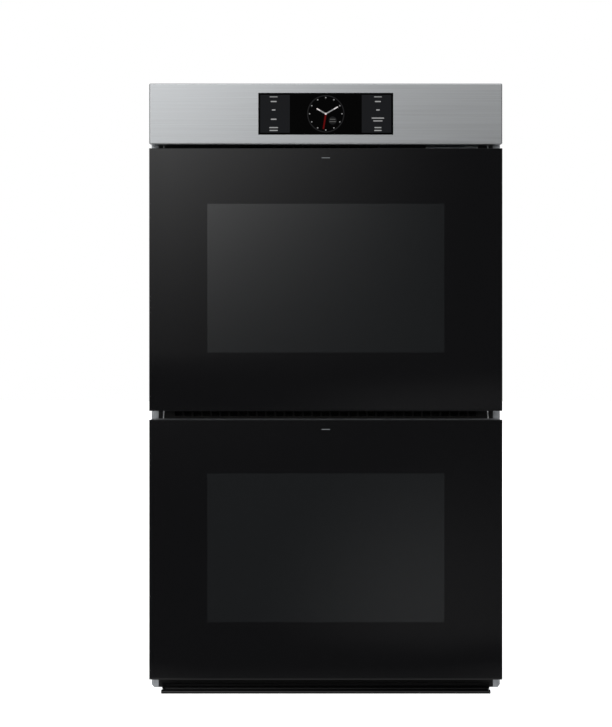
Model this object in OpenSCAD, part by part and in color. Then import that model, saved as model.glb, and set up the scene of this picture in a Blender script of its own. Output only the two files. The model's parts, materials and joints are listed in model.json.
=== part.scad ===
// Built-in double wall oven, 30 inch class, with drop-down doors.
// Millimetres. X runs across the front, -Y faces the room, +Z is up, and Z 0 is the cabinet's shelf.
// Inside the modules, from_face() puts Y 0 on the plane of the cabinet's face.

/* [Front] */
// Width of the fascia and of both doors
front_w = 759; // [740:1:940]
// Height of the control fascia
fascia_h = 131; // [120:1:170]
// Height of the upper door
upper_door_h = 564.5; // [460:0.5:700]
// Height of the lower door
lower_door_h = 558.5; // [460:0.5:700]
// Gap between the fascia and the upper door
top_gap = 8.5; // [7:0.5:14]
// Gap between the two doors
door_gap = 19; // [16:0.5:26]
// Height of the lower door's bottom edge above the shelf
toe_h = 36.5; // [34:0.5:60]
// Distance from the cabinet's face to the front of the glass
front_t = 46.5; // [44:0.5:60]

/* [Body] */
// How far the front stands past the body on each side
flange_overlap = 23.5; // [20:0.5:30]
// Depth of the body behind the cabinet's face
body_d = 585; // [520:1:720]
// Drop from the fascia's top edge to the body's top
top_drop = 18; // [10:1:30]
// Sheet thickness of the body's panels
sheet = 1.2; // [0.8:0.1:1.6]
// Depth of the mains terminal box behind the body
box_d = 32; // [26:1:45]

/* [Cavities] */
// Space between the body's side and the cavity's inside
side_space = 43.5; // [42:0.5:60]
// Space between the cavity's back wall and the back of the body
back_space = 100; // [95:1:130]
// Height of the cavity floor above its door's bottom edge
floor_up = 45.5; // [45:0.5:60]
// Drop from the upper door's top edge to its cavity's roof
upper_roof_drop = 75; // [74:0.5:90]
// Drop from the lower door's top edge to its cavity's roof
lower_roof_drop = 69; // [68:0.5:90]
// Thickness of the enamelled cavity wall
cavity_wall = 1.5; // [1.2:0.1:2]
// Inside corner radius of the cavity
cavity_r = 18; // [10:1:25]
// Height between rack levels
rack_pitch = 70; // [55:1:72]
// Length of a rack from front to back
rack_l = 420; // [340:1:425]
// Wire diameter of a rack's frame
rack_wire = 6; // [5:0.5:7]

/* [Doors] */
// Thickness of the outer glass
glass_t = 5; // [4:0.5:6]
// Width of the see-through window
window_w = 511; // [400:1:520]
// Height of the see-through window
window_h = 320.5; // [250:0.5:340]
// Drop from the door's top edge to the window
window_drop = 118; // [112:0.5:130]
// Height of the hinge axis above the door's bottom edge
hinge_up = 13; // [12:0.5:14]
// Distance of the hinge axis behind the front of the glass
hinge_in = 25; // [24:0.5:26]
// Radius of the hinge pin
hinge_pin_r = 4; // [3:0.5:5]

/* [Controls] */
// Width of the touch display's glass
display_w = 290; // [200:1:400]
// Height of the touch display's glass
display_h = 90; // [60:1:100]
// Width of the water reservoir
reservoir_w = 112; // [80:1:115]
// Length of the water reservoir
reservoir_l = 280; // [200:1:300]

/* [Hidden] */
$fn = 48;

// The two ovens: bay 0 is the upper one, bay 1 the lower one
UPPER = 0;
LOWER = 1;
BAYS = [UPPER, LOWER];
SIDES = [-1, 1];
door_h = [upper_door_h, lower_door_h];
door_z = [toe_h + lower_door_h + door_gap, toe_h];
roof_drop = [upper_roof_drop, lower_roof_drop];
function door_top(bay) = door_z[bay] + door_h[bay];
function floor_z(bay) = door_z[bay] + floor_up;
function roof_z(bay) = door_top(bay) - roof_drop[bay];
function mid_z(bay) = (floor_z(bay) + roof_z(bay)) / 2;
function hinge_z(bay) = door_z[bay] + hinge_up;
function deck_z(bay) = roof_z(bay) + 39;
function latch_z(bay) = roof_z(bay) + 33;

// Overall sizes
fascia_z = door_top(UPPER) + top_gap;
front_h = fascia_z + fascia_h;
body_w = front_w - 2 * flange_overlap;
body_h = front_h - top_drop;
body_in = body_w / 2 - sheet;
y_face = (front_t - body_d - box_d) / 2;

// Layers of sheet metal in front of the cabinet's face
trim_t = 1.5;
frame_t = 1.5;
frame_w = body_w + 16;
frame_y = -trim_t - frame_t;
seal_gap = 7;
door_back = frame_y - seal_gap;
front_y = -front_t;
glass_y = front_y + glass_t;
hinge_y = front_y + hinge_in;

// Cavity
flange_w = 14;
cavity_w = body_w - 2 * side_space;
cavity_d = body_d - back_space;
seal_land = 10;
flange_land = 20;
fit = 0.3;

// Racks and their ledges
ledge_w = 12;
ledge_h = 6;
rack_slip = 2.5;
rack_front = 16;
rack_w = cavity_w - 2 * rack_slip;
roof_room = 90;
function levels(bay) = floor((roof_z(bay) - floor_z(bay) - roof_room) / rack_pitch);
function high_level(bay) = max(2, levels(bay) - 1);
function low_level(bay) = max(1, high_level(bay) - 2);
function level_z(bay, level) = floor_z(bay) + rack_pitch * level;

// Convection fan, its cover and its ring element
cover_w = 400;
cover_h = 300;
cover_d = 40;
fan_r = 68;
shaft_r = 4;
shaft_slip = 0.06;
ring_r = 88;
ring_leg_x = 24;
ring_leg_drop = sqrt(pow(ring_r, 2) - pow(ring_leg_x, 2));
motor_r = 42;
motor_l = 46;

// Lamps and temperature probe on the cavity's back wall
lamp_x = 248;
lamp_drop = 58;
lamp_r = 26;
probe_x = 248;
probe_drop = 112;

// Door build
frame_inset = 3;
top_trim_h = 8;
liner_t = 1.2;
plug_clear = 8;
plug_in = 4;
pane_t = 4;
pane_lap = 12;
mid_pane_y = -27;
hinge_x = body_w / 2 - 22;
hinge_slot_w = 18;
channel_in = 5;
channel_wall = 2;
channel_l = 170;
arm_t = 4;
pin_slip = 0.06;

// Door latch
latch_x = 92;
latch_y = 20;
latch_l = 42;
latch_t = 4;
latch_pin_r = 3;
latch_slot = [48, 103];

// Cooling blower on the upper deck
wheel_r = 30;
wheel_l = 220;
wheel_y = 330;
wheel_z = deck_z(UPPER) + sheet + 48;
scroll_r = 44;
duct_w = 380;
duct_z = [wheel_z - 11, wheel_z + 9];
blower_shaft_r = 3;

// Water reservoir above the upper cavity
reservoir_x = body_w / 2 - 25.5 - reservoir_w / 2;
reservoir_h = 38.5;
reservoir_top = door_top(UPPER) + 5.5;
reservoir_wall = 2.5;

// Display
display_z = fascia_z + fascia_h / 2;
display_t = 3;

// Mounting slots in the side trims
slot_x = body_w / 2 + 15.5;
slot_w = 4.4;
slot_l = 14;
slot_z = [door_z[LOWER] + 20, door_top(LOWER) - 35, door_z[UPPER] + 26, door_top(UPPER) - 20];

// Screws
screw_r = 1.8;
screw_head_r = 4;
screw_head_h = 2.2;
screw_l = 9;
back_screw_x = body_w / 2 - 9;
back_screw_z = [for (i = [0:5]) 40 + i * (body_h - 80) / 5];
side_screw_z = [60, body_h / 2, body_h - 60];
side_screw_y = [12, body_d - 22];

// ---------- Shared shapes ----------

function about(mid, half) = [mid - half, mid + half];

function span(start, size) = [start, start + size];

function unit(v) = v / norm(v);

module from_face() translate([0, y_face, 0]) children();

module slab(x, y, z) translate([x[0], y[0], z[0]]) cube([x[1] - x[0], y[1] - y[0], z[1] - z[0]]);

module on_side(side)
    if (side < 0) mirror([1, 0, 0]) children();
    else children();

// A flat outline in X and Z, given thickness from one Y to another
module along_y(y) translate([0, y[1], 0]) rotate([90, 0, 0]) linear_extrude(y[1] - y[0]) children();

// A flat outline in Y and Z, given length from one X to another
module along_x(x) translate([x[0], 0, 0]) rotate([90, 0, 90]) linear_extrude(x[1] - x[0]) children();

// A rectangle with true round corners, from its lowest to its highest corner
module round_rect(x, z, r) {
    translate([x[0] + r, z[0]]) square([x[1] - x[0] - 2 * r, z[1] - z[0]]);
    translate([x[0], z[0] + r]) square([x[1] - x[0], z[1] - z[0] - 2 * r]);
    for (cx = [x[0] + r, x[1] - r], cz = [z[0] + r, z[1] - r]) translate([cx, cz]) circle(r);
}

module ring_rect(x, z, r, wall)
    difference() {
        round_rect([x[0] - wall, x[1] + wall], [z[0] - wall, z[1] + wall], r + wall);
        round_rect(x, z, r);
    }

// The outline of a cavity's opening, grown by a margin
module cavity_outline(bay, grow = 0)
    round_rect([-cavity_w / 2 - grow, cavity_w / 2 + grow],
               [floor_z(bay) - grow, roof_z(bay) + grow], max(cavity_r + grow, 4));

module rod_y(r, y, x, z) translate([x, y[1], z]) rotate([90, 0, 0]) cylinder(h = y[1] - y[0], r = r);

module rod_x(r, x, y, z) translate([x[0], y, z]) rotate([0, 90, 0]) cylinder(h = x[1] - x[0], r = r);

// A tube in the XY plane that follows square corners with one bend radius
module bent_tube(pts, r, bend) {
    last = len(pts) - 1;
    for (i = [0:last - 1]) {
        d = unit(pts[i + 1] - pts[i]);
        a = pts[i] + (i == 0 ? 0 : bend) * d;
        b = pts[i + 1] - (i == last - 1 ? 0 : bend) * d;
        if (norm(b - a) > 0.01)
            translate([a[0], a[1], 0]) rotate([0, 90, atan2(d[1], d[0])]) cylinder(h = norm(b - a), r = r);
    }
    for (i = [1:last - 1]) {
        u = unit(pts[i - 1] - pts[i]);
        v = unit(pts[i + 1] - pts[i]);
        c = pts[i] + bend * (u + v);
        from = u[0] * v[1] - u[1] * v[0] < 0 ? atan2(-v[1], -v[0]) : atan2(-u[1], -u[0]);
        if (u[0] * v[1] != u[1] * v[0])
            translate([c[0], c[1], 0]) rotate([0, 0, from])
                rotate_extrude(angle = 90) translate([bend, 0]) circle(r);
    }
}

// A screw whose head sits on Z 0 and whose shank goes down
module screw() {
    cylinder(h = screw_head_h, r = screw_head_r);
    translate([0, 0, -screw_l]) cylinder(h = screw_l, r = screw_r);
}

// ---------- Body ----------

module side_panel(side) {
    field_y = [60, body_d - 60];
    press = 3;
    color("gainsboro") from_face() on_side(side) difference() {
        union() {
            slab([body_in, body_w / 2], [0, body_d], [0, body_h]);
            slab([body_w / 2 - flange_w, body_in], [0, sheet], [12, body_h - 12]);
            slab([body_w / 2 - flange_w, body_in], [body_d - 2 * sheet, body_d - sheet], [12, body_h - 12]);
            for (bay = BAYS)
                slab([body_in - press, body_in], field_y, [floor_z(bay) + 20, roof_z(bay) - 20]);
        }
        for (bay = BAYS)
            slab([body_w / 2 - press, body_w / 2 + 1], [field_y[0] + sheet, field_y[1] - sheet],
                 [floor_z(bay) + 20 + sheet, roof_z(bay) - 20 - sheet]);
        for (i = [0:6])
            slab([body_in - 1, body_w / 2 + 1], [body_d - 250 + i * 30, body_d - 236 + i * 30],
                 [body_h - 90, body_h - 40]);
        for (y = side_screw_y, z = side_screw_z) rod_x(screw_r + 0.1, [body_in - 1, body_w / 2 + 1], y, z);
        for (z = back_screw_z) rod_y(screw_r + 0.1, [body_d - 4, body_d], back_screw_x, z);
    }
}

module back_panel() {
    half = body_in - fit;
    color("gainsboro") from_face() difference() {
        union() {
            slab([-half, half], [body_d - sheet, body_d], [sheet, body_h - sheet - fit]);
            for (bay = BAYS)
                slab([-230, 230], [body_d - 6, body_d - sheet], [floor_z(bay) + 30, roof_z(bay) - 30]);
        }
        for (bay = BAYS)
            slab([-230 + sheet, 230 - sheet], [body_d - 6 + sheet, body_d + 1],
                 [floor_z(bay) + 30 + sheet, roof_z(bay) - 30 - sheet]);
        // Louvre slots in front of each fan motor
        for (bay = BAYS, i = [-3:3])
            slab([-60, 60], [body_d - 7, body_d + 1], [mid_z(bay) + i * 16 - 3, mid_z(bay) + i * 16 + 3]);
        // Air intake behind the cooling blower
        for (i = [-8:8])
            slab([i * 22 - 6, i * 22 + 6], [body_d - 2, body_d + 1], [body_h - 100, body_h - 50]);
        for (side = SIDES, z = back_screw_z) rod_y(screw_r + 0.1, [body_d - 2, body_d + 1], side * back_screw_x, z);
        rod_y(14, [body_d - 2, body_d + 1], terminal_x, terminal_z);
    }
}

module top_panel() {
    half = body_in - fit;
    color("gainsboro") from_face() difference() {
        union() {
            slab([-half, half], [0, body_d - sheet], [body_h - sheet, body_h]);
            slab([-half + flange_w, half - flange_w], [0, sheet], [body_h - 18, body_h - sheet]);
        }
        for (i = [-7:7])
            slab([i * 40 - 14, i * 40 + 14], [wheel_y - 60, wheel_y - 54], [body_h - 2, body_h + 1]);
        for (i = [-7:7])
            slab([i * 40 - 14, i * 40 + 14], [wheel_y + 54, wheel_y + 60], [body_h - 2, body_h + 1]);
    }
}

module base_pan() {
    half = body_in - fit;
    color("gainsboro") from_face() {
        slab([-half, half], [0, body_d - sheet], [0, sheet]);
        slab([-half + flange_w, half - flange_w], [0, sheet], [sheet, 26]);
        // Hat rails that carry the lower cavity
        for (side = SIDES) on_side(side) {
            slab([218, 258], [40, body_d - 30], [12, 12 + sheet]);
            for (x = [218, 258 - sheet]) slab([x, x + sheet], [40, body_d - 30], [sheet, 12]);
        }
    }
}

module deck(bay) {
    half = body_in - fit;
    color("silver") from_face() difference() {
        union() {
            slab([-half, half], [sheet, body_d - 3 * sheet], [deck_z(bay), deck_z(bay) + sheet]);
            slab([-half + flange_w, half - flange_w], [sheet, 2 * sheet], [deck_z(bay) - 8, deck_z(bay)]);
        }
        // Opening above the latch hook's pivot
        slab([latch_x - 8, latch_x + 8], [latch_y - 8, latch_y + 8], [deck_z(bay) - 9, deck_z(bay) + 3]);
        slab([latch_slot[0], latch_slot[1]], [0, 3 * sheet], [deck_z(bay) - 9, deck_z(bay) - 0.5]);
    }
}

// ---------- Front ----------

vent_z = [[fascia_z - 6.5, fascia_z - 1.5], [door_top(LOWER) + 4, door_z[UPPER] - 4]];

module front_frame() {
    color([0.07, 0.07, 0.08]) from_face() difference() {
        slab([-frame_w / 2, frame_w / 2], [frame_y, -trim_t], [9, body_h]);
        for (bay = BAYS) {
            along_y([frame_y - 1, 0]) cavity_outline(bay, seal_land);
            // Slots for the hinge arms and the latch hook
            for (side = SIDES)
                slab([side * hinge_x - 4, side * hinge_x + 4], [frame_y - 1, 0],
                     [hinge_z(bay) - 9, hinge_z(bay) + 9]);
            slab(latch_slot, [frame_y - 1, 0], [latch_z(bay) - 4, latch_z(bay) + 4]);
        }
        // Air outlets in the gap above the upper door and in the gap between the doors
        for (i = [-9:6]) slab([i * 20 - 8, i * 20 + 8], [frame_y - 1, 0], vent_z[0]);
        for (i = [-16:16]) slab([i * 20 - 8, i * 20 + 8], [frame_y - 1, 0], vent_z[1]);
        slab(about(reservoir_x, reservoir_w / 2 + 1), [frame_y - 1, 0],
             [reservoir_top - reservoir_h - 1, reservoir_top + 1]);
        for (x = trim_screw_x, z = trim_screw_z) rod_y(screw_r + 0.1, [frame_y - 1, 0], x, z);
    }
}

trim_screw_x = [-frame_w / 2 + 5, frame_w / 2 - 5];
trim_screw_z = [30, mid_z(LOWER), (door_top(LOWER) + door_z[UPPER]) / 2 + 40, mid_z(UPPER), body_h - 60];

module side_trim(side) {
    bottom = 7.5;
    top = front_h - 6;
    chamfer = 5;
    color([0.52, 0.53, 0.54]) from_face() on_side(side) difference() {
        union() {
            along_y([-trim_t, 0]) polygon([
                [body_w / 2, bottom], [front_w / 2 - chamfer, bottom],
                [front_w / 2, bottom + 1.3 * chamfer], [front_w / 2, top], [body_w / 2, top]]);
            slab([body_w / 2, body_w / 2 + sheet], [0, 24], [bottom, top - 12]);
        }
        for (z = slot_z) along_y([-trim_t - 1, 1]) {
            translate([slot_x - slot_w / 2, z - slot_l / 2 + slot_w / 2]) square([slot_w, slot_l - slot_w]);
            for (end = SIDES) translate([slot_x, z + end * (slot_l - slot_w) / 2]) circle(slot_w / 2);
        }
        // Gauge mark pressed into the foot
        slab(about(slot_x, 1), [-trim_t - 1, -trim_t / 2], [bottom + 8.5, door_z[LOWER]]);
        for (z = trim_screw_z) rod_y(screw_r + 0.1, [-trim_t - 1, 1], frame_w / 2 - 5, z);
        for (y = [side_screw_y[0]], z = side_screw_z) rod_x(screw_r + 0.1, [body_w / 2 - 1, body_w / 2 + 3], y, z);
    }
}

module bottom_trim() {
    lip_r = 3.6;
    lip_y = front_y + 18 + lip_r;
    shelf_z = 6.4;
    color([0.06, 0.06, 0.07]) from_face() difference() {
        union() {
            // Shelf that turns the outlet air forward, with its upright at the frame
            slab([-body_w / 2, body_w / 2], [lip_y, frame_y], [shelf_z, shelf_z + 1.5]);
            slab([-body_w / 2, body_w / 2], [frame_y - 1.5, frame_y], [shelf_z + 1.5, 17]);
            rod_x(lip_r, [-body_w / 2, body_w / 2], lip_y, lip_r + 0.4);
            rod_x(1.3, [-body_w / 2 + 4, body_w / 2 - 4], lip_y + 12, shelf_z + 1.5);
        }
        for (side = SIDES) on_side(side)
            slab([body_w / 2 - 7.5, body_w / 2 + 1], [lip_y + lip_r + 1, frame_y - 5], [0, 12]);
        for (i = [-12:12]) slab([i * 26 - 9, i * 26 + 9], [frame_y - 6.5, frame_y - 3.5], [0, 12]);
    }
}

module vent_louvres() {
    color([0.10, 0.10, 0.11]) from_face() for (k = [0, 1]) {
        half = k == 0 ? duct_w / 2 - 8 : body_w / 2 - 26;
        step = (vent_z[k][1] - vent_z[k][0] + 3) / (k == 0 ? 2 : 4);
        for (i = [0:(k == 0 ? 2 : 4)])
            slab([-half, half], [2.4, 22], [vent_z[k][0] - 2 + i * step, vent_z[k][0] - 1 + i * step]);
        for (x = [-half, -half / 2, 0, half / 2, half - 1.2])
            slab([x, x + 1.2], [2.4, 22], [vent_z[k][0] - 2, vent_z[k][0] - 1 + (k == 0 ? 2 : 4) * step]);
    }
}

module control_fascia() {
    fold_r = 3;
    skin = 1.2;
    color("silver") from_face() difference() {
        union() {
            // Front skin and both ends, folded back with a radius
            translate([0, 0, fascia_z]) linear_extrude(fascia_h) difference() {
                round_rect([-front_w / 2, front_w / 2], [front_y, 8], fold_r);
                round_rect([-front_w / 2 + skin, front_w / 2 - skin], [front_y + skin, 7], fold_r - skin);
                translate([-front_w / 2 - 1, -trim_t]) square([front_w + 2, 20]);
            }
            for (z = [fascia_z, front_h - skin])
                slab([-front_w / 2 + fold_r, front_w / 2 - fold_r], [front_y + skin, frame_y], [z, z + skin]);
        }
        slab(about(0, display_w / 2), [front_y - 1, front_y + 2], about(display_z, display_h / 2));
    }
}

module control_glass() {
    color([0.02, 0.02, 0.03]) from_face()
        slab(about(0, display_w / 2 - fit), [front_y + 0.2, front_y + 0.2 + display_t],
             about(display_z, display_h / 2 - fit));
}

module display_module() {
    back = front_y + 0.2 + display_t;
    color([0.15, 0.3, 0.2]) from_face() {
        slab(about(0, display_w / 2 + 8), [back, back + 1.6], about(display_z, display_h / 2 + 6));
        slab([-80, 80], [back + 1.6, back + 8], about(display_z, 38));
        for (x = [-125, -100, 100, 125]) slab([x - 6, x + 6], [back + 1.6, back + 6], [display_z - 20, display_z + 10]);
        // Standoffs that hold the board on the front frame
        for (side = SIDES, z = about(display_z, 40)) rod_y(3, [back + 1.6, frame_y], side * 140, z);
    }
}

// ---------- Electronics and cooling on the upper deck ----------

deck_top = deck_z(UPPER) + sheet;

module circuit_board(x, y, parts) {
    z = deck_top + 12;
    slab(x, y, [z, z + 1.6]);
    for (px = [x[0] + 8, x[1] - 8], py = [y[0] + 8, y[1] - 8])
        translate([px, py, deck_top]) cylinder(h = 12, r = 3);
    for (p = parts)
        slab(span(x[0] + p[0], p[2]), span(y[0] + p[1], p[3]), span(z + 1.6, p[4]));
}

module main_board()
    color([0.1, 0.35, 0.2]) from_face() {
        circuit_board([-335, -150], [330, 550],
            [[20, 20, 40, 40, 4], [80, 24, 24, 60, 14], [120, 30, 40, 30, 10],
             [20, 90, 30, 30, 22], [62, 96, 18, 18, 16], [120, 80, 50, 14, 12],
             [20, 150, 50, 50, 30], [90, 150, 70, 16, 12], [90, 180, 70, 16, 12]]);
        for (i = [0:3]) translate([-250 + i * 22, 520, deck_top + 13.6]) cylinder(h = 24, r = 7);
    }

module power_board()
    color([0.1, 0.35, 0.2]) from_face() {
        circuit_board([150, 335], [340, 550],
            [for (i = [0:5]) [14 + i * 27, 20, 18, 30, 22], [20, 80, 60, 60, 40], [100, 80, 70, 24, 14],
             [100, 120, 70, 24, 14], [20, 170, 140, 12, 16]]);
        for (i = [0:2]) translate([210 + i * 30, 530, deck_top + 13.6]) cylinder(h = 26, r = 5);
    }

module blower_housing() {
    wall = 1.2;
    half = wheel_l / 2 + 5;
    color("silver") from_face() difference() {
        union() {
            rod_x(scroll_r, [-half, half], wheel_y, wheel_z);
            slab(about(0, duct_w / 2), [24, 200], duct_z);
            slab([-half, half], [200, wheel_y], duct_z);
            for (side = SIDES) slab(about(side * (half - 8), 8), about(wheel_y, 30), [deck_top, wheel_z - 30]);
        }
        rod_x(scroll_r - wall, [-half + wall, half - wall], wheel_y, wheel_z);
        slab(about(0, duct_w / 2 - wall), [23, 200 - wall], duct_z + wall * [1, -1]);
        slab(about(0, half - wall), [199 - wall, wheel_y], duct_z + wall * [1, -1]);
        // Round inlets at both ends, which also let the shaft through
        rod_x(20, [-half - 1, half + 1], wheel_y, wheel_z);
    }
}

module blower_wheel() {
    blades = 24;
    color([0.7, 0.72, 0.74]) from_face() translate([0, wheel_y, wheel_z]) rotate([0, 90, 0]) {
        for (z = [-wheel_l / 2, -1, wheel_l / 2 - 2]) translate([0, 0, z]) cylinder(h = 2, r = wheel_r);
        for (i = [0:blades - 1]) rotate([0, 0, i * 360 / blades])
            translate([wheel_r - 9, -0.5, -wheel_l / 2 + 1]) cube([8, 1, wheel_l - 2]);
        translate([0, 0, -wheel_l / 2 - 1]) cylinder(h = wheel_l + 27, r = blower_shaft_r);
    }
}

module blower_motor() {
    x0 = wheel_l / 2 + 8;
    color([0.25, 0.25, 0.27]) from_face() difference() {
        union() {
            rod_x(28, [x0, x0 + 34], wheel_y, wheel_z);
            rod_x(10, [x0 + 34, x0 + 42], wheel_y, wheel_z);
            slab([x0 + 4, x0 + 30], about(wheel_y, 24), [deck_top, wheel_z]);
        }
        rod_x(blower_shaft_r + shaft_slip, [x0 - 1, x0 + 24], wheel_y, wheel_z);
    }
}

// ---------- Mains connection ----------

terminal_x = body_w / 2 - 96;
terminal_z = body_h - 160;
gland_r = 11.1;
gland_l = 22;

module terminal_box() {
    half = [46, 55];
    wall = 1.5;
    barrel_y = body_d + box_d / 2;
    bottom = terminal_z - half[1];
    color("gainsboro") from_face() difference() {
        union() {
            slab(about(terminal_x, half[0]), [body_d, body_d + box_d], about(terminal_z, half[1]));
            translate([terminal_x, barrel_y, bottom - gland_l + wall]) cylinder(h = gland_l, r = 14.5);
            translate([terminal_x, barrel_y, bottom - 5]) cylinder(h = 5, r = 15.8, $fn = 6);
        }
        slab(about(terminal_x, half[0] - wall), [body_d - 1, body_d + box_d - wall],
             about(terminal_z, half[1] - wall));
        translate([terminal_x, barrel_y, bottom - gland_l]) cylinder(h = gland_l + 2 * wall, r = gland_r);
        for (side = SIDES) rod_y(2.2, [body_d + box_d - 3, body_d + box_d + 1], terminal_x + side * 34, terminal_z + 40);
    }
}

module panel_screws()
    color([0.6, 0.6, 0.62]) from_face() {
        for (side = SIDES, z = back_screw_z)
            translate([side * back_screw_x, body_d, z]) rotate([-90, 0, 0]) screw();
        for (side = SIDES, z = side_screw_z) on_side(side)
            translate([body_w / 2, side_screw_y[1], z]) rotate([0, 90, 0]) screw();
    }

module trim_screws()
    color([0.1, 0.1, 0.1]) from_face() {
        for (x = trim_screw_x, z = trim_screw_z) translate([x, frame_y, z]) rotate([90, 0, 0]) screw();
        for (side = SIDES, z = side_screw_z) on_side(side)
            translate([body_w / 2 + sheet, side_screw_y[0], z]) rotate([0, 90, 0]) screw();
    }

// ---------- Ovens ----------

module cavity(bay) {
    back = cavity_d;
    color([0.10, 0.11, 0.14]) from_face() difference() {
        union() {
            along_y([-trim_t, back]) difference() {
                cavity_outline(bay, cavity_wall);
                cavity_outline(bay);
            }
            along_y([back, back + cavity_wall]) cavity_outline(bay, cavity_wall);
            // Front flange behind the front frame
            along_y([-trim_t, 0]) difference() {
                cavity_outline(bay, flange_land);
                cavity_outline(bay, cavity_wall / 2);
            }
            // Ledges that carry the racks
            for (side = SIDES, level = [1:levels(bay)])
                slab(about(side * (cavity_w / 2 - ledge_w / 2 + 0.5), ledge_w / 2 + 0.5),
                     [24, back - cover_d - 6], span(level_z(bay, level), ledge_h));
        }
        rod_y(shaft_r + 3, [back - 1, back + 3], 0, mid_z(bay));
        for (side = SIDES) rod_y(lamp_r - 6, [back - 1, back + 3], side * lamp_x, roof_z(bay) - lamp_drop);
        rod_y(3.2, [back - 1, back + 3], -probe_x, roof_z(bay) - probe_drop);
        for (side = SIDES) rod_y(4.2, [back - 1, back + 3], side * ring_leg_x, mid_z(bay) - ring_leg_drop);
        for (side = SIDES) rod_y(4.4, [back - 1, back + 3], side * 25, roof_z(bay) - 22);
    }
}

module insulation_blankets() {
    side_t = side_space - sheet - cavity_wall - 3;
    color([0.93, 0.86, 0.55]) from_face() for (bay = BAYS) difference() {
        slab(about(0, cavity_w / 2 + cavity_wall + side_t), [flange_land, cavity_d + 32],
             [floor_z(bay) - 32, roof_z(bay) + 26]);
        slab(about(0, cavity_w / 2 + cavity_wall + fit), [0, cavity_d + cavity_wall + 0.5],
             [floor_z(bay) - 21, roof_z(bay) + cavity_wall + fit]);
        slab([-50, 50], [cavity_d, cavity_d + 40], about(mid_z(bay), 46));
        for (side = SIDES) {
            slab(about(side * hinge_x, 10), [0, 72], about(hinge_z(bay), 22));
            slab(about(side * lamp_x, 32), [cavity_d, cavity_d + 40], about(roof_z(bay) - lamp_drop, 32));
            slab(about(side * 25, 12), [cavity_d, cavity_d + 40], about(roof_z(bay) - 22, 12));
        }
        slab(about(-probe_x, 14), [cavity_d, cavity_d + 40], about(roof_z(bay) - probe_drop, 14));
        slab([-40, 40], [cavity_d, cavity_d + 40], about(mid_z(bay) - ring_leg_drop, 14));
    }
}

module door_gaskets()
    color([0.25, 0.25, 0.25]) from_face() for (bay = BAYS)
        along_y([door_back + fit, -trim_t]) difference() {
            cavity_outline(bay, seal_land - 1);
            cavity_outline(bay, 1);
        }

module broil_elements()
    color([0.3, 0.3, 0.32]) from_face() for (bay = BAYS) {
        r = 4;
        step = 84;
        far = cavity_d - cover_d - 50;
        near = 60;
        // Runs from front to back with a bend at each end, and two legs through the back wall
        translate([0, 0, roof_z(bay) - 22]) for (side = SIDES) on_side(side) {
            bent_tube([[25, cavity_d + 24], [25, near], [25 + step, near],
                       [25 + step, far], [25 + 2 * step, far], [25 + 2 * step, near],
                       [25 + 2.6 * step, near], [25 + 2.6 * step, far + 30]], r, 20);
        }
    }

module bake_elements()
    color([0.3, 0.3, 0.32]) from_face() for (bay = BAYS) {
        r = 3.5;
        step = 84;
        far = cavity_d - 60;
        near = 70;
        translate([0, 0, floor_z(bay) - cavity_wall - 6]) for (side = SIDES) on_side(side) {
            bent_tube([[25, cavity_d - 10], [25, near], [25 + step, near],
                       [25 + step, far], [25 + 2 * step, far], [25 + 2 * step, near],
                       [25 + 3 * step, near], [25 + 3 * step, far]], r, 20);
        }
    }

module ring_elements()
    color([0.3, 0.3, 0.32]) from_face() for (bay = BAYS) translate([0, 0, mid_z(bay)]) {
        r = 3.5;
        turns = [cavity_d - 25, cavity_d - 15];
        for (y = turns) translate([0, y, 0]) rotate([90, 0, 0]) rotate_extrude() translate([ring_r, 0]) circle(r);
        for (side = SIDES) rod_y(r, [turns[0], cavity_d + 30], side * ring_leg_x, -ring_leg_drop);
    }

module fan_covers()
    color([0.10, 0.11, 0.14]) from_face() for (bay = BAYS) translate([0, 0, mid_z(bay)]) {
        front = cavity_d - cover_d;
        difference() {
            union() {
                along_y([front, cavity_d - 0.2])
                    ring_rect(about(0, cover_w / 2 - 1.2), about(0, cover_h / 2 - 1.2), 20, 1.2);
                along_y([front, front + 1.2]) round_rect(about(0, cover_w / 2), about(0, cover_h / 2), 21.2);
            }
            // Intake holes in rings in front of the fan
            for (ring = [1:3], i = [0:ring * 6 - 1])
                rotate([0, i * 60 / ring, 0]) rod_y(5, [front - 1, front + 3], ring * 17, 0);
            rod_y(5, [front - 1, front + 3], 0, 0);
            // Outlet slots at both sides
            for (side = SIDES, i = [-3:3]) on_side(side)
                slab([cover_w / 2 - 60, cover_w / 2 - 22], [front - 1, front + 3], [i * 34 - 5, i * 34 + 5]);
            for (side = SIDES, i = [-2:2])
                on_side(side) slab([cover_w / 2 - 3, cover_w / 2 + 1], [front + 10, front + 30], about(i * 50, 14));
        }
    }

module convection_fan(bay)
    color([0.7, 0.72, 0.74]) from_face() translate([0, cavity_d - 20, mid_z(bay)]) rotate([90, 0, 0]) {
        cylinder(h = 1.2, r = fan_r);
        cylinder(h = 12, r = 9);
        for (i = [0:9]) rotate([0, 0, i * 36]) translate([24, -0.6, 0.6]) cube([fan_r - 26, 1.2, 13]);
        translate([0, 0, -56]) cylinder(h = 60, r = shaft_r);
    }

module fan_motors()
    color([0.45, 0.45, 0.47]) from_face() for (bay = BAYS) translate([0, 0, mid_z(bay)]) {
        back = cavity_d + cavity_wall;
        difference() {
            union() {
                slab([-46, 46], [back + 12, back + 14], [-38, 38]);
                rod_y(motor_r - 8, [back + 14, back + 14 + motor_l], 0, 0);
                slab([-30, 30], [back + 20, back + 44], [-40, 40]);
                for (side = SIDES, z = [-30, 30]) rod_y(4, [back, back + 12], side * 36, z);
            }
            rod_y(shaft_r + shaft_slip, [back + 5, back + 50], 0, 0);
        }
    }

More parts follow.
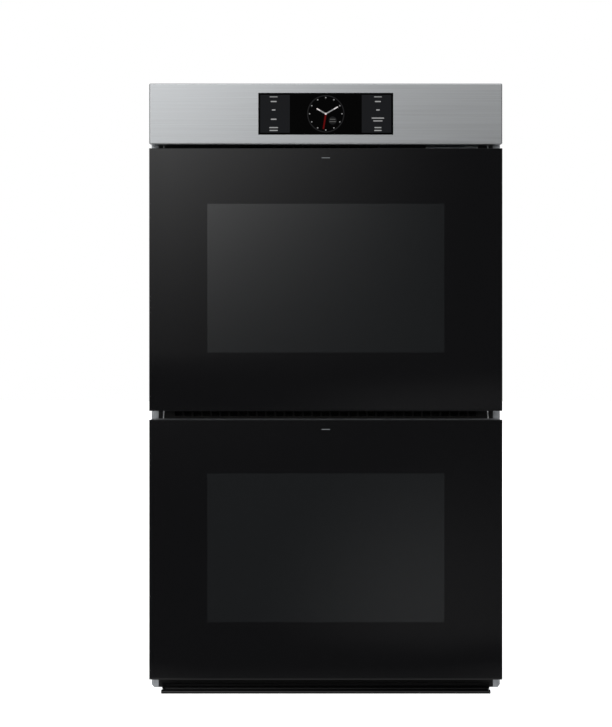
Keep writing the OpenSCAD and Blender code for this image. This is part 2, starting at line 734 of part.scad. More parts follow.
module lamp_lenses()
    color([0.95, 0.93, 0.85]) from_face() for (bay = BAYS, side = SIDES)
        translate([side * lamp_x, cavity_d, roof_z(bay) - lamp_drop]) rotate([90, 0, 0]) {
            cylinder(h = 5, r = lamp_r);
            translate([0, 0, 5]) cylinder(h = 5, r1 = lamp_r - 2, r2 = lamp_r - 9);
        }

module lamp_holders()
    color([0.8, 0.8, 0.78]) from_face() for (bay = BAYS, side = SIDES)
        translate([side * lamp_x, cavity_d + cavity_wall, roof_z(bay) - lamp_drop]) rotate([-90, 0, 0]) {
            cylinder(h = 2, r = lamp_r + 2);
            cylinder(h = 26, r = lamp_r - 7);
            translate([-12, -6, 26]) cube([24, 12, 10]);
        }

module temperature_probes()
    color([0.7, 0.7, 0.7]) from_face() for (bay = BAYS) {
        z = roof_z(bay) - probe_drop;
        rod_y(3, [cavity_d - 110, cavity_d + 24], -probe_x, z);
        slab(about(-probe_x, 14), [cavity_d - 1.5, cavity_d], about(z, 8));
    }

// ---------- Door hinges and latches, fixed parts ----------

module hinge_receivers()
    color([0.6, 0.6, 0.62]) from_face() for (bay = BAYS, side = SIDES)
        translate([side * hinge_x, 0, hinge_z(bay)]) difference() {
            union() {
                slab([-9, 9], [-trim_t, 0], [-17, 11]);
                slab([-5, 5], [0, 60], [-14, 11]);
            }
            slab([-2.6, 2.6], [-trim_t - 1, 61], [-8.4, 8.4]);
        }

module hinge_arms()
    color([0.5, 0.5, 0.52]) from_face() for (bay = BAYS, side = SIDES)
        translate([side * hinge_x, 0, hinge_z(bay)]) {
            along_x(about(0, arm_t / 2)) difference() {
                union() {
                    translate([hinge_y, 0]) circle(8);
                    translate([hinge_y, -7]) square([58 - hinge_y, 14]);
                }
                translate([-1, -8]) square([5, 3]);
                for (y = [18, 40]) translate([y, 0]) circle(2.5);
            }
            rod_x(hinge_pin_r, about(0, channel_in + channel_wall + 1), hinge_y, 0);
        }

module latch_motors()
    color([0.3, 0.3, 0.32]) from_face() for (bay = BAYS) {
        z = deck_z(bay) + sheet;
        translate([latch_x, latch_y, 0]) {
            slab([-14, 30], [-12, 30], [z, z + 22]);
            translate([0, 0, latch_z(bay) - latch_t / 2 - 2]) cylinder(h = z - latch_z(bay) + latch_t / 2 + 2, r = latch_pin_r);
            translate([0, 0, latch_z(bay) - latch_t / 2 - 3]) cylinder(h = 2.5, r = latch_pin_r + 2.5);
        }
    }

module latch_hook(bay)
    color([0.6, 0.6, 0.62]) from_face()
        translate([latch_x, latch_y, latch_z(bay) - latch_t / 2]) linear_extrude(latch_t) difference() {
            union() {
                circle(7);
                translate([-latch_l, -4]) square([latch_l, 8]);
                translate([-latch_l, -10]) square([6, 7]);
            }
            circle(latch_pin_r + shaft_slip);
        }

// ---------- Racks ----------

module rack(bay, level) {
    r = rack_wire / 2;
    wire = 1.8;
    half = rack_w / 2 - r;
    y = [rack_front + r, rack_front + rack_l - r];
    bend = 14;
    count = 26;
    pitch = 2 * (half - 8) / (count - 1);
    wire_z = r - 0.7 + wire;
    color("silver") from_face() translate([0, 0, level_z(bay, level) + ledge_h + r + 0.4]) {
        // Frame wire, with its two front corners open for the hand bow
        bent_tube([[0, y[0]], [half, y[0]], [half, y[1]], [-half, y[1]], [-half, y[0]], [0, y[0]]], r, bend);
        for (cross = [y[0] + rack_l / 3, y[0] + 2 * rack_l / 3]) rod_x(2.6, [-half, half], cross, 0);
        for (i = [0:count - 1])
            rod_y(wire, [y[0] - 1, y[1] + 1], -half + 8 + i * pitch, wire_z);
        // Back stop
        rod_x(2.6, [-half + 60, half - 60], y[1], 22);
        for (x = [-half + 60, 0, half - 60]) translate([x, y[1], 0]) cylinder(h = 22, r = 2.6);
    }
}

// ---------- Doors ----------

module door_glass(bay) {
    z = [door_z[bay], door_top(bay)];
    bevel = 1.6;
    foot = 5;
    color([0.03, 0.03, 0.035]) from_face() along_x(about(0, front_w / 2)) polygon([
        [front_y + bevel, z[0]], [glass_y, z[0]], [glass_y, z[1]], [front_y + bevel / 2, z[1]],
        [front_y, z[1] - bevel], [front_y, z[0] + foot]]);
}

function plug_x() = cavity_w / 2 - plug_clear;
function plug_z(bay) = [floor_z(bay) + plug_clear, roof_z(bay) - plug_clear];
function window_z(bay) = span(door_top(bay) - window_drop - window_h, window_h);

// Clears the hinge arm as the door swings down
module hinge_notches(bay)
    for (side = SIDES)
        slab(about(side * hinge_x, hinge_slot_w / 2), [hinge_y - 10, 0],
             [door_z[bay] - 1, hinge_z(bay) + 12]);

module door_frame(bay) {
    wall = 2;
    x = front_w / 2 - frame_inset;
    z = [door_z[bay] + frame_inset, door_top(bay) - top_trim_h - 1];
    y = [glass_y, door_back - liner_t];
    ring = window_w / 2 + pane_lap + fit;
    ring_z = window_z(bay) + (pane_lap + fit) * [-1, 1];
    color([0.05, 0.05, 0.055]) from_face() difference() {
        union() {
            along_y(y) difference() {
                translate([-x, z[0]]) square([2 * x, z[1] - z[0]]);
                translate([-x + wall, z[0] + wall]) square([2 * x - 2 * wall, z[1] - z[0] - 2 * wall]);
            }
            // Retainer around the window panes, tied to the side walls
            along_y([glass_y, plug_in - liner_t - pane_t]) difference() {
                translate([-ring - wall, ring_z[0] - wall]) square([2 * (ring + wall), ring_z[1] - ring_z[0] + 2 * wall]);
                translate([-ring, ring_z[0]]) square([2 * ring, ring_z[1] - ring_z[0]]);
            }
            for (side = SIDES, zz = [ring_z[0] + 20, ring_z[1] - 40]) on_side(side)
                slab([ring + wall, x - wall], [glass_y, glass_y + 2], [zz, zz + 20]);
        }
        hinge_notches(bay);
    }
}

module door_liner(bay) {
    x = front_w / 2 - frame_inset;
    z = [door_z[bay] + frame_inset, door_top(bay) - top_trim_h - 1];
    plug_r = cavity_r - 4;
    color([0.12, 0.13, 0.16]) from_face() difference() {
        union() {
            along_y([door_back - liner_t, door_back]) difference() {
                round_rect([-x, x], z, 2);
                round_rect(about(0, plug_x()), plug_z(bay), plug_r);
            }
            along_y([door_back - liner_t, plug_in]) difference() {
                round_rect(about(0, plug_x()), plug_z(bay), plug_r);
                round_rect(about(0, plug_x() - liner_t), plug_z(bay) + liner_t * [1, -1], plug_r - liner_t);
            }
            along_y([plug_in - liner_t, plug_in]) difference() {
                round_rect(about(0, plug_x() - liner_t / 2), plug_z(bay) + liner_t / 2 * [1, -1], plug_r - 0.5);
                round_rect(about(0, window_w / 2), window_z(bay), 8);
            }
        }
        hinge_notches(bay);
        slab(latch_slot, [door_back - 3, door_back + 1], about(latch_z(bay), 4));
    }
}

module door_inner_glass(bay) {
    x = window_w / 2 + pane_lap;
    z = window_z(bay) + pane_lap * [-1, 1];
    inner = plug_in - liner_t;
    color([0.35, 0.38, 0.4, 0.5]) from_face() {
        slab(about(0, x), [inner - pane_t, inner], z);
        slab(about(0, x), span(mid_pane_y, pane_t), z);
    }
}

module door_top_trim(bay) {
    x = front_w / 2 - frame_inset;
    z = span(door_top(bay) - 1 - top_trim_h, top_trim_h);
    color([0.06, 0.06, 0.065]) from_face() difference() {
        slab([-x, x], [glass_y, door_back], z);
        slab([-x + 2, x - 2], [glass_y + 2, door_back - 2], [z[0] - 1, z[1] - 2]);
        for (i = [-6:6]) slab([i * 54 - 20, i * 54 + 20], [glass_y + 8, glass_y + 13], [z[1] - 3, z[1] + 1]);
        for (i = [-6:6]) slab([i * 54 - 20, i * 54 + 20], [glass_y + 18, glass_y + 23], [z[1] - 3, z[1] + 1]);
    }
}

module door_hinges(bay)
    color([0.55, 0.55, 0.57]) from_face() for (side = SIDES)
        translate([side * hinge_x, 0, hinge_z(bay)]) {
            front = hinge_y - 10;
            difference() {
                union() {
                    for (wing = SIDES) on_side(wing)
                        slab([channel_in, channel_in + channel_wall], [front, door_back - liner_t - fit], [-8, channel_l]);
                    slab(about(0, channel_in + channel_wall), [front - channel_wall, front], [-8, channel_l]);
                }
                rod_x(hinge_pin_r + pin_slip, about(0, channel_in + channel_wall + 1), hinge_y, 0);
            }
        }

// ---------- Water reservoir ----------

module water_reservoir() {
    x = about(reservoir_x, reservoir_w / 2);
    z = [reservoir_top - reservoir_h, reservoir_top];
    lip_z = z[1] - 9;
    color([0.75, 0.8, 0.85]) from_face() difference() {
        union() {
            slab(x + 3 * [1, -1], [0, reservoir_l], [z[0] + 3, z[1] - 4]);
            // Front with a finger grip whose ends slope
            along_y([frame_y - 3, 0]) polygon([[x[0], z[0]], [x[1], z[0]], [x[1], lip_z], [x[1] - 3, z[1]],
                                               [x[0] + 3, z[1]], [x[0], lip_z]]);
        }
        slab(x + (3 + reservoir_wall) * [1, -1], [reservoir_wall, reservoir_l - reservoir_wall],
             [z[0] + 3 + reservoir_wall, z[1]]);
    }
}

module reservoir_lid() {
    x = about(reservoir_x, reservoir_w / 2 - 3 - reservoir_wall - fit);
    top = reservoir_top - 4;
    color([0.3, 0.32, 0.34]) from_face() difference() {
        slab(x, [reservoir_wall + fit, reservoir_l - reservoir_wall - fit], [top - 2.5, top]);
        translate([reservoir_x, reservoir_l - 40, top - 4]) cylinder(h = 6, r = 6);
        slab(about(reservoir_x, 16), [12, 26], [top - 4, top + 1]);
    }
}

side_panel(-1);  // side_panel_left
side_panel(1);  // side_panel_right
back_panel();
top_panel();
base_pan();
deck(LOWER);  // middle_deck
deck(UPPER);  // upper_deck
front_frame();
side_trim(-1);  // side_trim_left
side_trim(1);  // side_trim_right
bottom_trim();
vent_louvres();
control_fascia();
control_glass();
display_module();
main_board();
power_board();
blower_housing();
blower_motor();
blower_wheel();
terminal_box();
panel_screws();
trim_screws();
cavity(UPPER);  // upper_cavity
cavity(LOWER);  // lower_cavity
insulation_blankets();
door_gaskets();
bake_elements();
broil_elements();
ring_elements();
fan_covers();
fan_motors();
lamp_lenses();
lamp_holders();
temperature_probes();
hinge_receivers();
hinge_arms();
latch_motors();
latch_hook(UPPER);  // upper_latch_hook
latch_hook(LOWER);  // lower_latch_hook
convection_fan(UPPER);  // upper_fan
convection_fan(LOWER);  // lower_fan
rack(UPPER, high_level(UPPER));  // upper_rack_high
rack(UPPER, low_level(UPPER));  // upper_rack_low
rack(LOWER, high_level(LOWER));  // lower_rack_high
rack(LOWER, low_level(LOWER));  // lower_rack_low
door_glass(UPPER);  // upper_door_glass
door_frame(UPPER);  // upper_door_frame
door_liner(UPPER);  // upper_door_liner
door_inner_glass(UPPER);  // upper_door_inner_glass
door_top_trim(UPPER);  // upper_door_top_trim
door_hinges(UPPER);  // upper_door_hinges
door_glass(LOWER);  // lower_door_glass
door_frame(LOWER);  // lower_door_frame
door_liner(LOWER);  // lower_door_liner
door_inner_glass(LOWER);  // lower_door_inner_glass
door_top_trim(LOWER);  // lower_door_top_trim
door_hinges(LOWER);  // lower_door_hinges
water_reservoir();
reservoir_lid();
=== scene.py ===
# Built-in double wall oven: finishes, the pieces that need a finer mesh than the CAD one, lights and camera.
import json
import math

import bmesh
import bpy
from mathutils import Matrix, Vector


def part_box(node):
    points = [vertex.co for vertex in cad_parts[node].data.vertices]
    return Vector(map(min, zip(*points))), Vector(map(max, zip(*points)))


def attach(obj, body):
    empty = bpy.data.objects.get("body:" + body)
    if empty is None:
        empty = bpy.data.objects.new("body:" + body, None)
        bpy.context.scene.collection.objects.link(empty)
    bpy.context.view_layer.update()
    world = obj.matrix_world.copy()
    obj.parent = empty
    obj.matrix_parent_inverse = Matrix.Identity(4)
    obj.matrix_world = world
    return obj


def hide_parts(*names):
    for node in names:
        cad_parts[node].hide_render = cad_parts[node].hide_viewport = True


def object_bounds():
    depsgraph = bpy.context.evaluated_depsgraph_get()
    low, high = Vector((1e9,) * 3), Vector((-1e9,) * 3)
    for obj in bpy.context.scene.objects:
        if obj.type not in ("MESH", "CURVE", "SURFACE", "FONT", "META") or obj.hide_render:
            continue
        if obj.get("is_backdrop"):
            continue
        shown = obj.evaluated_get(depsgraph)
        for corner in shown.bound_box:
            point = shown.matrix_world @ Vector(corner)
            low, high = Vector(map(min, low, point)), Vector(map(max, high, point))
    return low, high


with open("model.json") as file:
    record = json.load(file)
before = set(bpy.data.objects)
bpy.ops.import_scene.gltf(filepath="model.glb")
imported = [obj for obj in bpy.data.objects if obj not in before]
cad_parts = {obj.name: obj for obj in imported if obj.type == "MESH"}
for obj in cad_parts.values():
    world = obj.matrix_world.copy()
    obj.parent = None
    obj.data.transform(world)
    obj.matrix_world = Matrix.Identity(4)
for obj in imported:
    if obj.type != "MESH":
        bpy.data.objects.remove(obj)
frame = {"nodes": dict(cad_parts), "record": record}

nodes = frame["nodes"]
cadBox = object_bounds()
mm = 0.001
weldM = 1e-7        # vertices closer than this are one
frontSlackM = 1e-4  # how far behind a front a face's middle may lie and still belong to it
doorNames = ("upper", "lower")


# ---- small tools

def linear(hexText, alpha=1.0):
    parts = [int(hexText[i:i + 2], 16) / 255 for i in (1, 3, 5)]
    return (*[c / 12.92 if c <= 0.04045 else ((c + 0.055) / 1.055) ** 2.4 for c in parts], alpha)


def addNode(tree, kind, settings=None, links=None):
    node = tree.nodes.new("ShaderNode" + kind)
    for key, value in (settings or {}).items():
        if isinstance(key, str) and hasattr(node, key):
            setattr(node, key, value)
        else:
            node.inputs[key].default_value = value
    for key, (source, output) in (links or {}).items():
        tree.links.new(source.outputs[output], node.inputs[key])
    return node


def startMaterial(name, settings):
    material = bpy.data.materials.new(name)
    material.use_nodes = True
    tree = material.node_tree
    tree.nodes.clear()
    shader = addNode(tree, "BsdfPrincipled", settings)
    addNode(tree, "OutputMaterial", {}, {"Surface": (shader, "BSDF")})
    return material, tree, shader


def objectSpace(tree, sizeMm):
    # Object coordinates, scaled so that one unit of pattern is the given size in millimetres
    place = addNode(tree, "TexCoord")
    scale = [1 / (size * mm) for size in sizeMm]
    return addNode(tree, "Mapping", {"Scale": scale}, {"Vector": (place, "Object")})


def addGrain(tree, shader, grain):
    # Noise that varies the roughness and stands up as a fine relief
    space = objectSpace(tree, grain["sizeMm"])
    noise = addNode(tree, "TexNoise", {"Scale": 1.0, "Detail": grain.get("detail", 3.0), "Roughness": 0.55},
                    {"Vector": (space, "Vector")})
    low, high = grain["roughness"]
    rough = addNode(tree, "MapRange", {"From Min": 0.3, "From Max": 0.7, "To Min": low, "To Max": high},
                    {"Value": (noise, "Fac")})
    tree.links.new(rough.outputs["Result"], shader.inputs["Roughness"])
    if grain.get("reliefMm"):
        bump = addNode(tree, "Bump", {"Strength": 1.0, "Distance": grain["reliefMm"] * mm},
                       {"Height": (noise, "Fac")})
        tree.links.new(bump.outputs["Normal"], shader.inputs["Normal"])
    return noise


def tintBy(tree, shader, source, output, low, high, span=(0.3, 0.7)):
    # Colour that runs between two tints with a pattern's value
    blend = addNode(tree, "MapRange", {"From Min": span[0], "From Max": span[1]}, {"Value": (source, output)})
    mix = addNode(tree, "Mix", {"data_type": "RGBA", 6: linear(low), 7: linear(high)},
                  {0: (blend, "Result")})
    tree.links.new(mix.outputs[2], shader.inputs["Base Color"])
    return mix


# ---- finishes of the sheet metal

def galvanisedSheet():
    # Hot-dip galvanised steel, rolled: zinc crystals up to 8 mm across that catch light unevenly
    material, tree, shader = startMaterial("galvanisedSheet", {"Metallic": 1.0})
    addGrain(tree, shader, {"sizeMm": (90, 90, 90), "roughness": (0.34, 0.46), "detail": 2.0})
    space = objectSpace(tree, (8, 8, 8))
    crystals = addNode(tree, "TexVoronoi", {"Scale": 1.0, "Randomness": 1.0}, {"Vector": (space, "Vector")})
    grey = addNode(tree, "SeparateColor", {}, {"Color": (crystals, "Color")})
    tintBy(tree, shader, grey, "Red", "#aeb2b3", "#c3c6c6", (0.0, 1.0))
    return material


def brushedStainless():
    # Stainless steel, brushed along its length: hair lines that spread the light up and down
    # The real lines are 0.1 mm apart; they are drawn 1.2 mm apart so that they show
    settings = {"Metallic": 1.0, "Anisotropic": 0.5, "Anisotropic Rotation": 0.25}
    material, tree, shader = startMaterial("brushedStainless", settings)
    noise = addGrain(tree, shader, {"sizeMm": (260, 260, 1.2), "roughness": (0.30, 0.40),
                                    "reliefMm": 0.006, "detail": 4.0})
    tintBy(tree, shader, noise, "Fac", "#b8babc", "#c5c8ca")
    return material


def coatedTrimSteel():
    # Galvanised steel strip with a thin grey passivated coat: satin, with a faint mottle
    material, tree, shader = startMaterial("coatedTrimSteel", {"Metallic": 0.35})
    noise = addGrain(tree, shader, {"sizeMm": (8, 8, 20), "roughness": (0.38, 0.50), "reliefMm": 0.01})
    tintBy(tree, shader, noise, "Fac", "#94979b", "#a8abae")
    return material


def blackCoat(name, low, high, rough, relief):
    # Steel with a baked powder coat: finer powder has a flatter orange peel and a brighter sheen
    material, tree, shader = startMaterial(name, {"IOR": 1.5})
    noise = addGrain(tree, shader, {"sizeMm": (0.9, 0.9, 0.9), "roughness": rough, "reliefMm": relief})
    tintBy(tree, shader, noise, "Fac", low, high)
    return material


def vitreousEnamel():
    # Porcelain enamel fired on steel: glassy, near black with pale blue specks under a 1.5 index glaze
    settings = {"IOR": 1.52, "Coat Weight": 0.4, "Coat Roughness": 0.08}
    material, tree, shader = startMaterial("vitreousEnamel", settings)
    addGrain(tree, shader, {"sizeMm": (6, 6, 6), "roughness": (0.12, 0.22), "reliefMm": 0.03})
    space = objectSpace(tree, (3.2, 3.2, 3.2))
    specks = addNode(tree, "TexVoronoi", {"Scale": 1.0}, {"Vector": (space, "Vector")})
    tintBy(tree, shader, specks, "Distance", "#8d97a6", "#1c2230", (0.10, 0.17))
    return material


def zincSteel():
    # Spring steel with bright zinc plating: pale, slightly blue, lightly scuffed
    material, tree, shader = startMaterial("zincSteel", {"Metallic": 1.0})
    noise = addGrain(tree, shader, {"sizeMm": (5, 5, 5), "roughness": (0.25, 0.42), "reliefMm": 0.008})
    tintBy(tree, shader, noise, "Fac", "#9aa0a4", "#b4b9bc")
    return material


def stampedAluminium():
    # Aluminium sheet, stamped and left bare: matt, with rolling marks
    material, tree, shader = startMaterial("stampedAluminium", {"Metallic": 1.0})
    noise = addGrain(tree, shader, {"sizeMm": (2, 30, 2), "roughness": (0.32, 0.48), "reliefMm": 0.008})
    tintBy(tree, shader, noise, "Fac", "#b5b7b9", "#cccecf")
    return material


def motorLaminations():
    # Pressed electrical steel sheets, 0.5 mm each and drawn at 1 mm, varnished dark
    material, tree, shader = startMaterial("motorLaminations", {"Metallic": 0.6, "Roughness": 0.5})
    space = objectSpace(tree, (2.0, 2.0, 2.0))
    sheets = addNode(tree, "TexWave", {"Scale": 1.0, "bands_direction": "Y"}, {"Vector": (space, "Vector")})
    tintBy(tree, shader, sheets, "Fac", "#2b2c30", "#55575c")
    return material


def chromedWire():
    # Steel wire, nickel and chrome plated: a near mirror with faint drawing lines
    material, tree, shader = startMaterial("chromedWire", {"Metallic": 1.0})
    noise = addGrain(tree, shader, {"sizeMm": (3, 3, 3), "roughness": (0.08, 0.18), "reliefMm": 0.002})
    tintBy(tree, shader, noise, "Fac", "#c3c5c8", "#d8dadc")
    return material


def elementSheath():
    # Nickel alloy tube, oxidised by heat: dark grey-brown with a dry surface
    material, tree, shader = startMaterial("elementSheath", {"Metallic": 0.5})
    noise = addGrain(tree, shader, {"sizeMm": (4, 4, 4), "roughness": (0.45, 0.62), "reliefMm": 0.02})
    tintBy(tree, shader, noise, "Fac", "#3a3634", "#58534f")
    return material


# ---- finishes of the glass, plastics and soft pieces

def printedBlackGlass():
    # Tempered soda-lime float glass with black enamel printed on its back: a mirror-smooth 1.52 front
    settings = {"Base Color": linear("#0b0b0c"), "IOR": 1.52}
    material, tree, shader = startMaterial("printedBlackGlass", settings)
    addGrain(tree, shader, {"sizeMm": (120, 120, 120), "roughness": (0.02, 0.035), "detail": 1.0})
    return material


def bondedDisplayGlass():
    # Aluminosilicate cover glass, bonded to the screen and coated against reflections: it barely mirrors
    settings = {"Base Color": linear("#030303"), "IOR": 1.06}
    material, tree, shader = startMaterial("bondedDisplayGlass", settings)
    addGrain(tree, shader, {"sizeMm": (60, 60, 60), "roughness": (0.03, 0.05), "detail": 1.0})
    return material


def coatedWindowGlass():
    # The same glass without the print: its metal oxide heat mirror reflects more, over a dark inside
    settings = {"Base Color": linear("#131415"), "IOR": 1.86}
    material, tree, shader = startMaterial("coatedWindowGlass", settings)
    addGrain(tree, shader, {"sizeMm": (120, 120, 120), "roughness": (0.02, 0.035), "detail": 1.0})
    return material


def glassEdge():
    # Ground edge of float glass over its black print: dark grey-green and dull
    material, tree, shader = startMaterial("glassEdge", {"IOR": 1.3})
    noise = addGrain(tree, shader, {"sizeMm": (4, 4, 4), "roughness": (0.40, 0.55)})
    tintBy(tree, shader, noise, "Fac", "#0f1112", "#171a1b")
    return material


def clearPane():
    # Clear heat-resistant pane with a faint grey oxide coat, fire polished
    settings = {"Base Color": linear("#c9d2d0"), "IOR": 1.5, "Transmission Weight": 0.92}
    material, tree, shader = startMaterial("clearPane", settings)
    addGrain(tree, shader, {"sizeMm": (80, 80, 80), "roughness": (0.01, 0.03), "detail": 1.0})
    return material


def frostedLens():
    # Pressed borosilicate glass with a stippled face
    settings = {"Base Color": linear("#efeee6"), "IOR": 1.47, "Transmission Weight": 0.75}
    material, tree, shader = startMaterial("frostedLens", settings)
    addGrain(tree, shader, {"sizeMm": (1.6, 1.6, 1.6), "roughness": (0.25, 0.45), "reliefMm": 0.15})
    return material


def darkPlastic(name, low, high, rough):
    # Glass-filled plastic, moulded against a spark-eroded tool: an even fine stipple
    material, tree, shader = startMaterial(name, {"IOR": 1.46})
    noise = addGrain(tree, shader, {"sizeMm": (0.7, 0.7, 0.7), "roughness": rough, "reliefMm": 0.02})
    tintBy(tree, shader, noise, "Fac", low, high)
    return material


def tankPlastic():
    # Natural copolyester, moulded smooth: cloudy grey, and light passes through
    settings = {"Base Color": linear("#aab4bd"), "IOR": 1.57, "Transmission Weight": 0.35}
    material, tree, shader = startMaterial("tankPlastic", settings)
    addGrain(tree, shader, {"sizeMm": (20, 20, 20), "roughness": (0.16, 0.26), "reliefMm": 0.02})
    return material


def solderMask():
    # Fibreglass board under green solder mask, with copper tracks as paler lines 3 mm apart
    material, tree, shader = startMaterial("solderMask", {"IOR": 1.5})
    addGrain(tree, shader, {"sizeMm": (2, 2, 2), "roughness": (0.28, 0.4)})
    space = objectSpace(tree, (6, 6, 6))
    tracks = addNode(tree, "TexBrick", {"Scale": 1.0, "Mortar Size": 0.06, "Color1": linear("#14452a"),
                                        "Color2": linear("#1a5233"), "Mortar": linear("#2f7a4d")},
                     {"Vector": (space, "Vector")})
    tree.links.new(tracks.outputs["Color"], shader.inputs["Base Color"])
    return material


def glassWool():
    # Bonded glass wool: matt yellow felt with fibres in all directions
    settings = {"Roughness": 1.0, "Sheen Weight": 0.3, "Sheen Roughness": 0.5}
    material, tree, shader = startMaterial("glassWool", settings)
    noise = addGrain(tree, shader, {"sizeMm": (6, 6, 6), "roughness": (0.9, 1.0),
                                    "reliefMm": 1.5, "detail": 8.0})
    tintBy(tree, shader, noise, "Fac", "#b79a4a", "#dcc987")
    return material


def braidedGasket():
    # Braided glass fibre over a wire core: dark strands crossing every 2 mm
    material, tree, shader = startMaterial("braidedGasket", {"Sheen Weight": 0.25, "Sheen Roughness": 0.4})
    addGrain(tree, shader, {"sizeMm": (1.0, 1.0, 1.0), "roughness": (0.75, 0.9)})
    space = objectSpace(tree, (4.0, 4.0, 4.0))
    turned = addNode(tree, "Mapping", {"Rotation": (0, math.pi / 2, 0)}, {"Vector": (space, "Vector")})
    strands = [addNode(tree, "TexWave", {"Scale": 1.0, "bands_direction": "DIAGONAL"},
                       {"Vector": (source, "Vector")}) for source in (space, turned)]
    weave = addNode(tree, "Math", {"operation": "MAXIMUM"}, {0: (strands[0], "Fac"), 1: (strands[1], "Fac")})
    bump = addNode(tree, "Bump", {"Strength": 1.0, "Distance": 0.5 * mm}, {"Height": (weave, "Value")})
    tree.links.new(bump.outputs["Normal"], shader.inputs["Normal"])
    tintBy(tree, shader, weave, "Value", "#232324", "#4a4b4c", (0.2, 1.0))
    return material


def steatite():
    # Unglazed steatite ceramic, pressed and fired: off-white and chalky
    material, tree, shader = startMaterial("steatite", {"IOR": 1.55})
    noise = addGrain(tree, shader, {"sizeMm": (1.5, 1.5, 1.5), "roughness": (0.55, 0.75), "reliefMm": 0.03})
    tintBy(tree, shader, noise, "Fac", "#c9c4b6", "#dedacd")
    return material


def screenMark(name, hexText, strength):
    # Light that shines through the print, from the display or its lit marks
    settings = {"Base Color": linear("#030303"), "Roughness": 0.25, "IOR": 1.06,
                "Emission Color": linear(hexText), "Emission Strength": strength}
    return startMaterial(name, settings)[0]


print("finishes")
finishes = {
    "galvanised_steel": galvanisedSheet(),
    "brushed_steel": brushedStainless(),
    "trim_steel": coatedTrimSteel(),
    "black_steel": blackCoat("blackPowderCoat", "#0c0d0e", "#141517", (0.42, 0.55), 0.02),
    "enamel": vitreousEnamel(),
    "black_glass": printedBlackGlass(),
    "display_glass": bondedDisplayGlass(),
    "pane_glass": clearPane(),
    "lens_glass": frostedLens(),
    "circuit_board": solderMask(),
    "blower_steel": galvanisedSheet(),
    "aluminium": stampedAluminium(),
    "motor_steel": motorLaminations(),
    "screw_steel": zincSteel(),
    "black_screw": darkPlastic("blackOxide", "#17181a", "#222325", (0.35, 0.5)),
    "insulation": glassWool(),
    "gasket": braidedGasket(),
    "element": elementSheath(),
    "ceramic": steatite(),
    "hinge_steel": zincSteel(),
    "latch_body": darkPlastic("latchPlastic", "#1c1d20", "#26272a", (0.4, 0.55)),
    "rack_wire": chromedWire(),
    "tank_plastic": tankPlastic(),
    "lid_plastic": darkPlastic("lidPlastic", "#2a2c2f", "#34373a", (0.35, 0.5)),
}
slotOf = {part["node"]: part["material_slot"] for part in frame["record"]["subparts"]}
glossCoat = blackCoat("blackGlossCoat", "#040405", "#070708", (0.16, 0.24), 0.004)
sootCoat = blackCoat("blackMattCoat", "#040404", "#070707", (0.60, 0.75), 0.02)
# Mid grey on the black top trims of the doors: painted light on their tops, where light from above falls
paintedLitTopCoat = blackCoat("paintedLightTopCoat", "#58595b", "#66676a", (0.40, 0.52), 0.02)
ownFinish = {"bottom_trim": glossCoat, "front_frame": sootCoat, "vent_louvres": sootCoat,
             "upper_door_top_trim": paintedLitTopCoat, "lower_door_top_trim": paintedLitTopCoat}
for name, node in nodes.items():
    node.data.materials.clear()
    node.data.materials.append(ownFinish.get(name, finishes[slotOf[name]]))


# ---- mesh tools

def finishPiece(bm, name, materials, body, replaced=(), sharpAngle=35):
    # Welds, names and finishes a mesh, and makes it ride on its body
    bmesh.ops.remove_doubles(bm, verts=bm.verts, dist=weldM)
    bmesh.ops.recalc_face_normals(bm, faces=bm.faces)
    mesh = bpy.data.meshes.new(name)
    bm.to_mesh(mesh)
    bm.free()
    for material in materials:
        mesh.materials.append(material)
    mesh.shade_smooth()
    mesh.set_sharp_from_angle(angle=math.radians(sharpAngle))
    piece = bpy.data.objects.new(name, mesh)
    bpy.context.scene.collection.objects.link(piece)
    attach(piece, body)
    if replaced:
        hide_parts(*replaced)


def addBlock(bm, low, high, edge=0.0):
    made = bmesh.ops.create_cube(bm, size=1.0)["verts"]
    low, high = Vector(low), Vector(high)
    bmesh.ops.scale(bm, vec=high - low, verts=made)
    bmesh.ops.translate(bm, vec=(low + high) / 2, verts=made)
    if edge:
        edges = list({e for v in made for e in v.link_edges})
        bmesh.ops.bevel(bm, geom=edges, offset=edge, segments=2, profile=0.5, affect="EDGES", material=-1)
    return made


def cutAcross(bm, axis, values):
    # Splits every face at these places, so that a print or an opening can have faces of its own
    normal = Vector([1.0 if i == axis else 0.0 for i in range(3)])
    for value in values:
        geom = bm.verts[:] + bm.edges[:] + bm.faces[:]
        bmesh.ops.bisect_plane(bm, geom=geom, plane_co=normal * value, plane_no=normal, dist=weldM)


def frontFaces(bm, y, xs, zs):
    # Faces of the front, which lies at this y, whose middles are within two widths and two levels
    found = []
    for f in bm.faces:
        middle = f.calc_center_median()
        if middle.y <= y + frontSlackM and xs[0] <= middle.x <= xs[1] and zs[0] <= middle.z <= zs[1]:
            found.append(f)
    return found


def frontEdges(bm, y):
    # Outline of the flat front, where every vertex of an edge lies on that plane
    return [e for e in bm.edges if all(abs(v.co.y - y) < 1e-6 for v in e.verts) and not e.is_boundary
            and any(abs(f.normal.y) < 0.9 for f in e.link_faces)]


# ---- door glass

doorGlass = {
    "arrisMm": 0.8,       # polished edge round the front
    "windowMm": (509.0, 319.3),   # the part left clear of the print
    "windowRiseMm": {"upper": -0.8, "lower": 3.4},   # from the middle of the panes behind it
    "markMm": (18.0, 1.7),  # lit touch mark near the top edge
    "markDropMm": 20.5,
    "footMm": (1.1, 4.2),   # long bevel along the bottom edge: depth and height
    "flatCosine": 0.94,     # faces that lean further than this from the front are ground edges
    "sharpAngle": 15,
}


